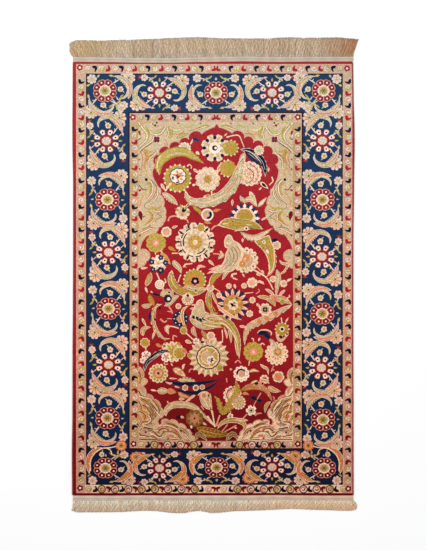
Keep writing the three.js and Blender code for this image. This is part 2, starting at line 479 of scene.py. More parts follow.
@dataclass(frozen=True)
class Leaf:
    """A curved leaf: edge, body and midrib yarns, greatest width, midrib places and teeth."""

    yarns: str
    width: float
    line: str
    teeth: int = 0
    side: int = 0

    def lay(self, chart: Chart) -> None:
        """Lays the leaf from its edge inwards."""
        line = places(self.line)
        chart.lay(blade(line, self.width, self.teeth, self.side), self.yarns[0])
        body = self.yarns[1]
        inner = max(self.width * 0.5, self.width - 2.0)
        if self.width > PLAIN_LEAF:
            chart.lay(blade(line, inner + 0.8, trim=0.045), OUTLINES.get(body, OTHER_OUTLINE))
        chart.lay(blade(line, inner, trim=0.06), body)
        if self.width <= PLAIN_LEAF:
            return
        flow = smooth(line, 5)
        length = sum(abs(b - a) for a, b in zip(flow, flow[1:]))
        midrib = self.yarns[2] if len(self.yarns) > 2 else self.yarns[0]
        chart.lay(ribbon([along(flow, 0.12 + 0.7 * step / 4)[0] for step in range(5)], self.width * 0.09, 2), midrib)
        tones, count = FLECKS.get(body, OTHER_FLECKS), int(length / FLECK_STEP)
        for number in range(count):
            share = 0.12 + 0.76 * (number + 0.5) / count
            point, left = along(flow, share)
            sway = left * inner * (0.26 if number % 2 else -0.26) * math.sin(math.pi * share) ** 0.5
            foot, tip = point + sway - left * 1j * 0.8, point + sway * 1.5 + left * 1j * 1.1
            chart.lay(almond(foot, tip, inner * 0.2), tones[number % len(tones)])


@dataclass(frozen=True)
class Bud:
    """A bud or petal: outer and inner yarns, greatest width, then its foot and tip."""

    yarns: str
    width: float
    line: str

    def lay(self, chart: Chart) -> None:
        """Lays the bud and its heart."""
        foot, tip = places(self.line)
        chart.lay(almond(foot, tip, self.width), self.yarns[0])
        if self.yarns[1] != self.yarns[0]:
            inner = max(self.width * 0.5, self.width - 1.7)
            chart.lay(almond(foot + (tip - foot) * 0.16, foot + (tip - foot) * 0.8, inner), self.yarns[1])


STEM_OUTLINE = 1.2  # how much wider a stem's outline is than the stem


@dataclass(frozen=True)
class Stem:
    """A stem: its yarn, the yarn of its outline if it has one, width and places."""

    yarns: str
    width: float
    line: str

    def lay(self, chart: Chart) -> None:
        """Lays the stem over its outline."""
        body, *outline = self.yarns
        for yarn in outline:
            chart.lay(ribbon(places(self.line), self.width + STEM_OUTLINE), yarn)
        chart.lay(ribbon(places(self.line), self.width), body)


@dataclass(frozen=True)
class Bloom:
    """A round flower or palmette: its pattern, radius, middle and turn."""

    pattern: str
    radius: float
    at: str
    turn: float = 0.0

    def lay(self, chart: Chart) -> None:
        """Lays the bloom."""
        chart.lay_bloom(self.pattern, places(self.at)[0], self.radius, self.turn)


@dataclass(frozen=True)
class Patch:
    """A closed area with a flowing outline: edge and body yarns, width of the edge, and its places."""

    yarns: str
    edge: float
    line: str

    def lay(self, chart: Chart) -> None:
        """Lays the area and the body inside its edge."""
        spots = places(self.line)
        rim = smooth([spots[-1], *spots, *spots[:2]], 3)[3:-3]
        chart.lay(rim, self.yarns[0])
        turn = sum((a.conjugate() * b).imag for a, b in zip(rim, rim[1:] + rim[:1]))
        inward = 1j if turn > 0 else -1j
        body = []
        for before, spot, after in zip(rim[-1:] + rim[:-1], rim, rim[1:] + rim[:1]):
            run = after - before
            body.append(spot + inward * run / (abs(run) or 1) * self.edge)
        chart.lay(body, self.yarns[1])


Motif = Leaf | Bud | Stem | Bloom | Patch
MOTIF_KINDS = {"L": Leaf, "U": Bud, "S": Stem, "F": Bloom, "A": Patch}


def motifs(table: str) -> tuple[Motif, ...]:
    """Reads a table of motifs.

    Args:
        table: a row for each motif: its kind, yarns or pattern, width or radius, any more values, then its places.
            A row that ends in a comma goes on in the next line.

    Returns:
        The motifs in the order of laying.
    """
    read = []
    for row in table.strip().replace(",\n", ", ").splitlines():
        values, line = row.split("|")
        kind, name, size, *more = values.split()
        read.append(MOTIF_KINDS[kind](name, float(size), line, *map(int, more)))
    return tuple(read)


FIELD_MOTIFS = motifs("""
S I 0.9 | 190.3 144.3, 192.7 139.4, 195.2 138.2
U NN 3.4 | 192.4 138.2, 200.4 141
U IV 1.8 | 192.7 140.3, 190 144.9
F fan_ivory 6.6 -70 | 184.5 148.6
L OM 10.6 10 1 | 160.3 174, 158.1 167.2, 161.2 159.4, 171.3 152.8, 183.6 151.6, 194.6 157, 204.1 163.8
L MV 3.4 | 163.6 158.6, 172.8 154.2, 183 153.4, 192.4 157
S I .9 | 160.2 156, 157.6 162.4, 157.4 168.6, 159.4 175
S O .7 | 166 159, 175 155.6, 185 156.2, 194 160.4
F olive_palmette 14.2 | 177.4 178.3
F ivory_heart 8.6 200 | 178 176.2
U NN 1.9 | 172.8 176.2, 173 180.4
U NN 1.7 | 175.6 182.9, 179.9 182
U KS 3 | 178 175.6, 182.9 171.9
S I 2.2 | 171.3 182.9, 168.2 186.6, 165.2 191.2
U IV 3.2 | 160.9 183.5, 165.2 190.6
F daisy 14 | 214.8 148
U II 3.4 | 195.8 151.7, 199.8 154.7
S I 1.2 | 187.2 166.4, 189.1 164.5, 191.5 166.4, 190.9 168.8
U IS 3 | 193.3 168.8, 199.2 173.4
U II 2.6 | 192.1 185.3, 196.1 184.4
U IG 3.6 | 217.5 172.5, 221.2 162.4
F pale_rosette 12.6 10 | 207.7 179.2
S I 1.6 | 211.4 190.9, 212.3 197.6
U KI 3 | 203.1 198.2, 207.4 194.2
U KG 3.2 | 207.4 194.2, 212 198.2
U IS 2.2 | 212 197.6, 214.8 192.7
L IV 6.5 7 -1 | 162.1 192.8, 167.6 196.4, 173.1 200.7, 177.7 205.2
U IX 2.6 | 185.7 207.4, 191.2 201.3
U OM 3.6 | 192.7 206.2, 202.2 213.8
U KG 3.2 | 212.9 211.1, 221.5 209.2
S I 1.3 | 226.4 137.3, 232.5 135.6, 238.3 135.4, 241.4 140, 244.1 147.1
U OI 2 | 223.9 136.4, 227.7 132.6
F olive_fan 8.2 | 230.7 148
U OM 5 | 221.8 146.2, 228.2 145.6
F sand_palmette 12.6 -30 | 249.4 173.6
F gold_fan 8.5 180 | 228 168.4
L IS 6 | 244.7 152.3, 242.3 159.6, 241.1 167
L IV 12 10 1 | 244 153.6, 241 165, 237.2 177.4, 230.6 188.6, 220.6 197.6, 207 202.4, 194 202.4, 187 197, 185.4 190
L VR 4 | 238.6 172, 234 182.4, 226.6 191.2, 216 197.8
S X 0.7 | 247.2 167.6, 252.7 171.9, 253.3 178, 249.6 182.3, 246 183.2
S X 0.6 | 249.6 163.8, 256.4 168.6, 258 176.4, 254.8 182.4
L LB 7.6 9 1 | 239.8 149.2, 250.9 151.6, 260 158.4, 264.6 167, 265.2 177.1
L BI 2 | 241.1 149.3, 250.9 152.3, 258.8 159.6, 263.1 167
L BN 3.4 | 244.7 151.1, 250.9 157.8, 258.8 163.3, 263.1 166.4
F fan_ivory 5 -40 | 259.1 150.4
U IS 2 | 268.6 167.3, 268.3 172.2
U IX 4.4 | 260.3 182, 268.6 189
S I 1.4 | 271.7 176.8, 272.9 181.1, 269.2 185
U II 1.8 | 258.8 189.9, 261.9 187.2
S R 1 | 260 181.7, 257 184.7
L IV 5 4 1 | 240.1 195.4, 242.9 200.3, 250.2 199.1, 254.5 203.4, 257 206.8
U IV 5 | 249.6 191.2, 257 205.6
U VI 4.2 | 257.9 206.8, 267.1 197
U IS 2.6 | 232.5 199.4, 232.2 206.2
S R 1.4 | 211.4 229.7, 214.2 226.4, 218.1 225.1
S R 1.6 | 168.2 221.2, 169.8 217.2, 175 216, 181.1 218.1, 186.6 219.6, 188.4 223
F bud_dark 7.6 -80 | 182.6 212.3
L OG 3.4 | 196.4 207.4, 200.1 212.3, 203.3 217.8
F pearl_bud 6.2 20 | 207.4 214.7
U GK 3.2 | 203.8 221.8, 211.7 223.3
S I 1.2 | 171.9 253.3, 178 253.2
S R 1.2 | 213.2 253.6, 220.6 254.2
F great_rosette 20 12 | 195.2 242.3
F olive_small 4.4 | 201 227.6
S I 1.4 | 155.4 232.5, 155.3 236.2
S I 1.4 | 155.4 250.9, 155.4 254.5
F green_rosette 10.2 | 156 242.9
F ivory_bud 5.4 -50 | 166.4 231.9
U IK 2.8 | 171.9 227.9, 178 225.8
U GO 3.6 | 168.2 246.7, 175.9 251.2
S I 1.2 | 160.3 250.2, 162.7 253.3
U SG 6.4 | 160.6 253, 171 264.6
F ivory_posy 8.6 15 | 158.4 263.4
F navy_floret 3 | 151.7 261.9
F navy_floret 2.8 | 160.9 257.6
F navy_floret 3 | 165.5 262.8
F navy_floret 2.8 | 152.9 269.5
F navy_floret 3.8 | 160.6 270.4
U IR 2.6 | 140.7 268.6, 148 267.5
L IR 5.6 | 150.8 272.3, 149.6 278.4, 147.1 283.3, 146.2 286.4
U OS 5.2 | 150.5 272.9, 146.5 285.1
U II 2.4 | 145.3 287, 147.6 293.4
S I 1.3 | 156.6 272.9, 160 280.9, 165.2 293.4
F snail 4.8 | 159.7 284.5
S I 1.6 | 162.1 283.3, 165.8 282.1, 164.6 278.4
S I 1.3 | 180.8 274.7, 179.1 278.4, 178.2 282.4
L IV 5.6 | 173.8 260, 175 263.7, 179.3 268, 181.4 273.8
S I 1.6 | 183.6 266.8, 185.7 264.3, 188.4 264, 192.4 263.4
S R 1.1 | 182.9 266.8, 186.6 267.1
U IS 3 | 208.3 260, 214.5 265.9
L IR 3 | 196.7 270.4, 199.5 266.2, 205.9 267.1
F olive_palmette 11.6 -95 | 194.6 280.2
F navy_heart 5 -90 | 195.2 281.2
L IO 8.8 10 1 | 171.9 270.1, 171 277.8, 174.4 286.1, 183.6 291.9, 196.4 292.8, 207.4 288.8
L OG 3.6 | 174.4 283.9, 181.1 289.4, 193.3 291.3, 203.1 289.4
L IV 5 | 183.6 286.1, 189.7 287.6, 197 289.1, 207.4 287.9
U KR 2.6 | 195.2 284.8, 201.9 285.8
U XX 1.4 | 194.6 290.3, 197 290.7
L IO 5.6 | 209 287, 212.9 278.4, 217.8 274.7, 224 271.7
L IO 5.8 | 210.2 289.4, 208.3 296.8, 209.3 306, 212.9 310.9
L IO 2.6 | 211.7 290.7, 214.2 298, 217.8 306
F ivory_bud 4 | 210.2 287.9
S I 1 | 214.2 288.2, 220.3 291.9
F navy_fringe 15.8 -90 | 244.7 218.7
F gold_dome 9.4 -90 | 244.7 217.2
S R 1.4 | 211.1 229.7, 214.7 226.4, 218.7 225.1
L IO 12.2 | 217.8 225.3, 228.2 223, 239.8 224.8, 252.1 224.8, 263.1 229.1
L OG 4.6 | 226.4 224.2, 237.4 224.5, 247.2 225.1
L IS 2 | 234.3 231.6, 242.3 228.2, 247.2 229.1
L OO 4.2 | 247.2 228.2, 254.5 227, 260.7 229.1
L VI 6.4 9 -1 | 240.4 231.8, 247.2 236.8, 254.5 238, 263.1 234.3, 273 227.7
L SV 1.4 | 244.7 234.3, 254.5 236.2, 264.3 232.5
L IO 9.6 12 | 254.2 241.4, 261.9 241.4, 268.6 248.4, 272.3 259.4, 271.4 269.2, 269.8 273.8
A IO 1 | 254.6 240.8, 260 238.4, 265 236.4, 269.2 235.2, 271.6 241.4, 274.2 247.6, 275 256, 274.6 264, 272.6 270.6,
269.6 274.4, 266.8 276.6, 269.2 270, 268.4 262, 265.6 254.4, 261.4 248.6, 257.4 245
L MO 4 | 257 241.6, 262.6 245, 268.4 253
L MG 3 | 268 238, 270.4 246, 272.6 256, 271.6 267
S O .7 | 270.6 254, 271.8 262, 270.4 270
U KR 2 | 264.8 245.6, 267.4 250.4
U IW 3 | 266.4 249.6, 268.8 254.4
U UU 1.4 | 257.6 244, 259.2 245
U UO 1.4 | 262 247.8, 263.6 249.6
U UU 1.2 | 268.8 241, 270 242.4
S R 1.4 | 271.7 273.2, 268.6 275.3, 265.9 276.9
F eye_spot 1.8 | 263.9 242.1
F eye_spot 2.2 | 246.3 228.5
U XX 1.2 | 250.2 228.5, 252.4 227.9
U XX 1 | 232.2 221.5, 234 221.2
U OO 1.8 | 257.9 244.7, 259.1 244.7
U IS 2.2 | 261.3 220.2, 267.7 216.6
U IR 2.4 | 242.6 238.3, 242.6 242.6
F ivory_bud 4.4 | 276.6 245.3
U NB 4.2 | 271.1 240.8, 279 239.1
F dotted_palmette 13 | 245.4 260.2
F sand_heart 6 | 245 258.6
F sand_heart 4.4 | 242.4 263.6
L IR 3 | 223.3 266.8, 215.3 269.8, 206.6 273.8
L IR 2.2 | 221.6 264.8, 214.6 267.8, 208.4 269.6
L IF 4 | 230.7 268.2, 226 273, 222 280.2
A IF .9 | 224.5 246, 224.2 240.4, 226.2 236, 229 234.5, 231.8 236.2, 233.4 240, 237.6 242.2, 241.4 246, 243.2 251,
243.1 256.5, 240.3 261.5, 236.6 267.5, 231.5 271.6, 226.4 272, 219.5 272.6, 212 273, 216.5 269.5, 221.5 264.6,
224.4 259.4, 225.2 254.6, 226.6 251.2, 227.6 248.8, 225.8 247.6
L VF 5.2 | 229.6 244.6, 234.4 251, 235.2 258.6, 230.6 265.6, 223.6 270
L FV 3.2 | 234 243.4, 239.4 249, 240.6 255.4, 237.4 262
S I 1 | 237.6 244.4, 241.4 250, 241.2 256, 237.4 263, 232.4 269.4
S I .9 | 234 262.6, 229 268, 222.6 271.4
S I .8 | 228.8 263.4, 223 268.4, 217 271.2
S L 1 | 227.8 252.6, 229.8 257.4, 227.6 262.6, 222.4 268
S H .5 | 233 246.6, 237 252, 237.6 257.6, 234.8 262.6
S H .5 | 230.6 248.6, 234 254.6, 233.6 260.6, 229.6 266.4
S H .5 | 228.6 251.4, 231 257, 229.4 262.6, 224.6 267.8
S H .5 | 226.6 256.5, 227.4 260.4, 224 265
S H .5 | 236.6 246, 239.8 251.4, 239.6 257
S R 1 | 225.4 245.2, 227.8 247.2, 231.4 245.6
S I 1.2 | 226.4 242.8, 228.6 244, 231.6 242.4
U XX .9 | 227.6 239.4, 228.8 239.5
L IV 4 | 224.5 254.5, 221.5 255.8, 218.1 259.1
U IR 2 | 219.9 250.6, 223.3 255.1
L OO 5 | 210.4 287, 212.3 280.9, 216 276, 222.7 273.5
S I 2.2 | 231.9 277.2, 232.5 274.4, 236.8 273.6
U IR 1.8 | 232.5 277.8, 238 279.9
U IR 1.8 | 242.3 273.5, 244.7 277.2
S I 1.5 | 253 269.5, 260 273.2, 265.9 277.2, 269.8 282.7, 273.2 289.7
S R 1.1 | 256.4 266.8, 261.9 272.3, 263.4 273.8
U IS 2.4 | 256.1 273.5, 260.7 276
U IR 2.2 | 261.6 270.1, 264.3 274.4
F small_rosette 5.4 | 252.1 282.7
L IR 2.6 | 257 282.7, 260 281.5, 264.3 284.5
L IS 3 | 279.3 260, 282.4 263.4, 287.3 264.6, 285.8 269.2, 279.9 274.1
U IG 2.2 | 280.2 273.8, 286.4 271.1
U IR 2 | 261.9 281.5, 264 284.5
S R 0.9 | 255.8 293.7, 259.4 291.3, 258.2 288.8
S I 1.1 | 287 298.3, 289.7 296.5, 288.8 294.9
L IV 5.6 | 276.6 269.2, 278.4 277.2, 277.2 285.1, 276 297.4
F ivory_bud 3.4 -90 | 272.9 279
F small_rosette 3.8 | 283.6 283.6
U II 2.6 | 286.4 281.2, 292.2 278.4
L IR 3.4 | 264.9 288.8, 270.4 291.9, 275.3 296.8
L IR 3 | 285.4 289.7, 281.5 293.1, 279 296.8
L IO 4.2 | 257 296.5, 266.2 297.7, 274.7 302.3
L IO 4 | 265.6 298.6, 272.9 302.2, 275.3 306.5
L IS 6.8 | 269.2 295.5, 276.6 298, 284.5 299.8, 292.2 304.7
L IFR 7.8 11 1 | 292.2 304.7, 282.1 310.2, 269.8 316.9, 257.6 322.4, 249 327.3, 245.3 335.3, 244.6 345.4
F coral_spot 2.8 | 259.4 321.5
F coral_spot 2.8 | 266.8 318.2
F coral_spot 2.8 | 275.7 313.6
F coral_spot 3.4 | 274.4 298.6
F green_spot 3 | 282.4 301.6
U IR 3 | 239.2 326.1, 247.5 327.3
U NB 3 | 152 293.4, 161.8 296.1
U II 1.6 | 150.5 291.2, 152.9 293.1
L OG 5.4 | 149.3 294.3, 150.5 299.2, 152.3 302.2, 154.2 306.2
L IS 4.6 | 141.3 305.2, 146.8 306.2, 152 303.8
L IV 5 | 179.3 295.5, 174.4 298, 168.9 304.1, 164 305.9
L IV 8 | 160.3 295.5, 164 293.7, 170.1 293.1, 168.9 300.4, 165.2 305.9
F navy_eye 4.2 20 | 167.8 298.6
U XX 2 | 168.2 291.8, 170.1 293.1
S R 1.2 | 162.1 288.8, 165.2 293.1
L IS 4.6 8 -1 | 162.1 304.1, 155.4 306.5, 152.9 315.7, 153.6 324.3, 157.8 332.9, 164 339, 170.2 338.4
L GK 1.8 | 156 310.2, 154.8 316.3, 156.6 321.8
U XX 2 | 154.2 317.9, 156.6 321.8
U XX 2 | 159.4 306.5, 160.3 310.2
U XX 1.6 | 158.4 302.2, 160.3 304.1
U NN 3.2 | 149.8 311.7, 149.8 322.4
S R 1.8 | 160.3 318.8, 164 322.1, 167 320.6
S R 1.6 | 168.2 305.6, 171.3 310.2, 172.5 313.6
S R 1.2 | 167.6 311.1, 171.3 312
L IV 2.4 | 156 329.2, 153.6 334.7, 152.3 339.6
S R 1.1 | 167 318.5, 171.9 318.7
F navy_ring 8.4 | 180.5 318.8
L IG 3.4 | 188.4 305.9, 183.2 309.6, 182 316.9, 183.9 324.3, 187.2 331.6
L GO 4.8 | 179.9 329.2, 183.6 328, 186.6 325.5
F olive_small 3.8 | 183.6 330.7
S I 1.4 | 186.3 333.2, 190.3 337.1, 194.3 340.5
F ivory_bud 3 -40 | 178.3 306.2
S I 1.4 | 178.7 328.3, 173.8 326.7, 170.1 326.1
L II 4.4 | 170.7 326.1, 166.4 328, 168.9 334.4
U IG 2.6 | 141.9 317.9, 146.5 327
L IS 5 | 143.4 335.9, 142.5 331.6, 145 328, 150.8 327.3
F olive_small 5 | 145 342.7
S I 1.2 | 145 346.9, 146.2 350
S R 1.4 | 173.1 340.2, 173.4 335.6, 177.1 336.8
U GK 3.6 | 155.7 343.9, 162.4 347.2
F white_spotted 5 | 146.2 355.5
F white_spotted 3.2 | 142.8 360.4
L IS 3 | 209.9 310.2, 214.8 315.7, 224 316.9
S O 2.4 | 208.7 296.7, 207.4 304.7, 211.7 311.4, 217.8 313.6
S G 1.2 | 211.1 297.3, 211.7 304.7, 215.4 310.8
A IV .9 | 192.1 310.6, 194.9 305.6, 197.1 301.1, 200.4 299.4, 203.2 301.1, 204 305.6, 205.1 311.1, 208.2 312.8,
213.8 316.4, 219 319.4, 218 326.2, 207.1 326, 198.2 323.3, 193.8 318.9, 191.6 314.4
U RI 2 | 196.4 306, 199.6 301.6
U IR 1.8 | 198.4 311, 201.4 306.4
L IR 2 | 189.7 309, 195.8 307.8
L SI 2 | 190.9 304.7, 197 305.3
U XX 1 | 201 301.6, 201.9 302.2
L IV 10.4 | 192.7 313.3, 194 318.8, 203.1 324.3, 215.4 324.3, 224 321.8
L VI 4.4 | 205 314.5, 212.9 316.3, 224 318.2
L OI 3.6 | 201.3 323.7, 211.7 326.1, 224 327.3
U BB 3 | 192.7 315.7, 194.6 319.4
U BN 3 | 196.4 316.3, 198.6 321.2
U BB 3 | 199.5 318.2, 201.9 322.4
U BN 2.6 | 201.9 317.6, 206.2 320.6
L IO 8.6 | 203.1 318.2, 211.7 318.8, 220.2 319.4, 227 322.4, 234.9 332.2, 238.6 343.9, 239.2 359.2
L OI 3.2 | 204.3 324.3, 215.3 323.4, 223.9 323.7, 232.5 332.9, 236.8 342, 238.6 351.2
L IV 2.4 | 204.3 315.1, 216 316.3, 223.9 320.6
L IR 2.4 | 223.9 326.7, 226.4 334.1, 227 339
L IO 2.6 | 228.2 329.8, 230.7 336.5, 231 343.3
L IO 3 | 234.9 337.8, 236.8 348.2, 237.4 356.1
S I 1.1 | 222.1 329.8, 222.7 337.1, 222.4 342.7
F spotted_fan 6.2 90 | 187.8 299.2
F navy_petals 16.4 5 | 233.1 304.4
F gold_wheel 9.8 | 233.1 304.7
L IR 3.6 | 216.6 304.1, 221.5 309.6, 230.7 315.7, 242.3 320
U BB 2.8 | 230.7 303.5, 234.9 306.5
U BB 1.6 | 235.6 297.3, 238 299.2
F small_rosette 3.4 | 252.4 300.1
F small_rosette 3.6 | 249.6 313.6
F small_rosette 3 | 219 295.2
F small_rosette 3 | 228.8 286.1
U IR 2.6 | 234.3 283.9, 235.6 288.8
F small_rosette 3 | 244.1 285.8
S I 1 | 244.7 293.4, 253.3 292.4
U IR 2.8 | 256.4 303.5, 260.7 307.4
F green_eye_flower 6.6 | 265.2 309.6
S I 1.2 | 281.2 317.6, 281.8 321.8
U LI 1.8 | 285.4 322.4, 288.8 316.9
F olive_thistle 7.4 | 282.1 329.2
L IV 3 | 276 332.2, 278.4 339, 282.1 340.2, 289.4 333.5
U XX 2 | 279.9 337.4, 282.7 335.6
S I 1.6 | 257.9 333.5, 260 330.7, 266.2 329.8, 271.1 332.2, 271.1 335.3
L NB 4.6 | 257.6 334.7, 262.5 332.6, 269.8 334.7
L NB 4 | 262.5 334.1, 268 336.5, 269.8 340.8
U II 2.2 | 260 337.8, 258.2 341.4
L VI 4.6 | 269.2 339, 272.9 342.7, 274.7 348.8
S I 1.2 | 251.5 338.4, 253.3 339, 253.6 342.3
S I 1.2 | 249.6 360.7, 248.7 365.6
S I 1.4 | 259.4 345.4, 262.5 343.3, 264.6 345.1
F green_rosette 10.2 8 | 253.3 351.8
F ivory_palmette 11.8 | 276.6 353.7
F olive_heart 5 | 277.8 351.8
U XX 1.3 | 269.2 356.1, 269.8 357.7
U XX 1.3 | 285.3 355.8, 286.1 357
U XX 1.3 | 285 351.5, 285.9 352.8
L VI 4 | 272.9 342, 276 345.1, 276.6 350
S R 1.4 | 234.9 362.9, 238 360.4, 241.1 363.5
S R 1.1 | 273.8 365.9, 271.7 369
L SV 7 | 165.2 346.9, 168.9 348.8, 175 348.8
F bud_dark 5 180 | 166.4 347.2
F sprig_palmette 10.6 180 | 173.1 351.8
F olive_small 6.6 | 179.3 353.1
F white_spotted 5 | 166.1 357.3
U SK 5 | 181.1 348.8, 187.8 353.7
U GO 3.4 | 177.4 342, 181.1 346.9
L LB 5.4 7 1 | 144.7 371.4, 146.2 362.9, 155.4 354.9, 163.3 351.2, 171.3 351.5
L BI 1.8 | 147.4 361.6, 155.4 356.1, 164 352.4
F dotted_rosette 9.8 | 158.4 373.3
F spiked_palmette 20.6 -60 | 208.7 356.7
F ring_heart 12.2 | 208.3 357.3
F dark_wedge 4.2 | 210.8 359.8
L IS 4.6 | 193.7 326.1, 193.3 331.6, 197 337.1
L SG 4.2 | 201.3 330.1, 205 335.3, 209.9 340.2
F ivory_bud 4.4 -90 | 210.8 335.9
F white_spotted 3.4 | 196.1 341.1
U IS 4 | 185.1 340.5, 192.1 343.3
U XX 2.4 | 200.4 342, 205 342
F green_spot 3.4 | 220 367.8
F green_spot 3 | 190 355.5
S R 1.4 | 164 362.2, 165.2 364.7, 167.9 363.8
U IR 1.6 | 171 363.2, 172.8 366.2
L II 2.4 | 182.9 369.6, 183.2 365.9, 185.1 363.8
S R 1.4 | 189.1 372.3, 190 369.6, 192.7 369
L OI 7.4 | 172.5 368.7, 178.7 371.4, 186.3 377.2
L KR 3.4 | 177.4 370.8, 182.9 374.5
F white_arc_flower 8.2 | 241.4 373.9
L OI 3.6 | 248.7 372.3, 253.3 370.2, 259.7 371.7
L IS 3 | 260 363.8, 263.7 367.1, 267.4 369, 268.3 375.1
S R 1.1 | 271.1 371.4, 272.9 369, 274.4 370.8
U IR 2.4 | 229.7 369.6, 232.2 369
F green_eye_flower 4.6 | 264.3 379.3
L IS 3.4 | 259.4 379.9, 264.3 380.5, 269.8 383.6
F coral_bud 6 -20 | 278.4 376.8
L IS 5.4 | 268 386, 272.9 389.7, 280.9 391.5
L SK 6.4 | 241.1 390.3, 248.4 386.9, 258.8 386.6, 266.8 390.9, 272.3 401.6
L SK 3 | 242.3 394, 245.3 393.3, 249 394.9
L OI 3 | 250.2 383.9, 254.5 381.7, 258.2 380.5
F curl_rose 3.2 | 261 383.6
U XX 2.8 | 254.2 383.6, 258.8 383.6
L OK 4 | 242.3 390.3, 250.9 387.8, 258.8 389.1
S R 1.2 | 261 392.7, 256.4 400.4, 253 407.1
L NB 4.2 | 250.2 397.6, 254.5 398.2, 257 400.7
L NB 3.8 | 256.4 401.3, 260 400.7, 261.9 401.6
F white_flower 5.4 | 251.2 410.5
S R 1.6 | 255.1 415.4, 257.6 413.6, 261.6 413.2
S R 1.4 | 247.2 413.9, 242.9 418.4
L IO 3.8 | 270.8 401.6, 266.2 405.6, 264.9 413.2
S R 1.2 | 272.9 396.4, 274.4 398.2, 273.2 399.8
L IV 5.4 6 1 | 177.7 380.2, 184.8 379.9, 190.9 380.5, 197.3 382.9
L NB 4.4 | 165.2 380.2, 178 383.9, 193.3 383.9, 208.7 382, 220.9 378.7
L NB 4 | 175 389.4, 184.8 392.1, 196.4 392.7, 208.7 388.1, 220.9 379.6
L IR 2 | 165.2 381.7, 170.1 383.6, 172.5 382.3
U IR 1.8 | 168.9 378.3, 178 378.8
F coral_bud 3.2 | 185.1 387.8
F green_eye_flower 3.2 | 195.8 387.8
F coral_bud 2.8 | 202.2 387.2
U IR 1.6 | 174.4 386.3, 179.9 387.8
U II 2 | 150.5 389.8, 157.2 391
L IV 6.8 | 156.9 390.9, 162.7 390.9, 168.9 390.6
U SK 6.2 | 166.7 390.6, 176.5 392.4
L GR 4.6 | 178 392.1, 182.9 395.8, 190.9 397.6
U IK 3 | 178.7 398.9, 184.8 399.2
L IR 2.6 | 195.2 395.2, 192.1 397, 184.8 402.5
U IR 2 | 185.4 401.3, 190.3 400.1
L IV 9 | 209.9 409.9, 205.6 402.5, 203.4 395.2, 203.8 392.7
L IS 3.4 | 197.6 395.2, 204.4 392.7, 209.9 394
L IS 2.4 | 210.2 393.3, 210.5 401.3, 212 409.9
F coral_bud 3.6 | 204.1 395.5
S I 1.6 | 211.4 409.9, 213.2 417.2, 214.5 426.4
S R 1.6 | 215.4 426.4, 217.8 420.9, 219.4 415.4
L IV 6.8 | 166.1 416.3, 165.8 411.1, 171.3 405.6, 181.1 404.4, 193.3 406.8, 202.5 414.2, 213.6 425.8
L OV 2.2 | 172.5 405, 184.2 406.8, 195.2 409.9, 202.5 416
S R 1.6 | 167.3 401, 168.9 403.4, 174.4 401.6
U XX 1.4 | 200.4 414.5, 202.2 414.7
U XX 1.2 | 187.8 409.9, 190 410.2
F olive_round 9 | 194.6 418.4
U IR 2.6 | 180.5 416.6, 184.2 417.8
U II 2.4 | 190.9 425.2, 191.8 428.9
U BP 4 | 176.2 416.6, 181.1 417.8
U BP 3.6 | 190.9 429.5, 194.6 431.9
U IR 2.2 | 202.8 422.7, 206.8 425.2
S R 1.4 | 201.3 405.6, 203.8 409.9
F half_moon 9.4 210 | 232.5 395.2
S X 1 | 234.3 387.5, 228.8 389.4, 226.7 394
L MO 9.6 9 | 222.1 415.1, 228.2 407.4, 234.3 399.5, 237.4 390.3, 235.6 380.2
L OG 3.4 | 226.4 408.7, 232.5 401.3, 234.9 395.2
L MO 5.6 5 | 221.8 414.5, 220.2 408, 218.7 401.3, 214.4 396.1
F pearl_fan 7.2 40 | 238.6 402.5
S R 1.3 | 226.4 378, 227 382.3
S I 1.4 | 212.3 411.1, 213.5 419.7, 214.7 426.4
S I 1.6 | 207.4 416, 211.7 422.1, 215.3 427
S R 1.6 | 219.9 415.1, 217.8 420.9, 217.2 426.4
S R 1.4 | 230.7 411.1, 230.3 414.8
F white_flower 3.2 | 230.3 416.3
L IO 5.4 | 217.2 428.9, 223.3 422.1, 233.7 420, 242.3 422.4, 245.3 427.6, 241.4 432.2
L IS 3 | 234.9 419.7, 242.3 419.7, 248.4 420.6
S R 1.4 | 227.6 424.6, 224.5 428.2, 221.5 431.9
S R 1.4 | 236.2 425.5, 231.9 427.6, 224.5 431.9
U RI 2.4 | 234.3 427.6, 237.4 428.2
L OU 9 | 196.4 427.6, 206.8 431.3, 217.8 433.8, 230 434.4
L UO 4.4 | 199.4 434.4, 208 435.6, 217.8 437.4
L OG 2 | 199.4 429.5, 211.7 433.1, 223.9 435
L VU 5.4 | 194.6 440.8, 199.5 433.8, 207.4 441.1
U XX 2 | 198.2 438, 200.7 438
L VU 5.4 | 225.8 440.8, 232.5 433.8, 238.9 439.3
U XX 2 | 231.3 438.3, 234 438.3
""")


class Rosette(Enum):
    """The two rosettes that take turns round the main border."""

    RED = "red_rosette"
    PALE = "pale_rosette_border"


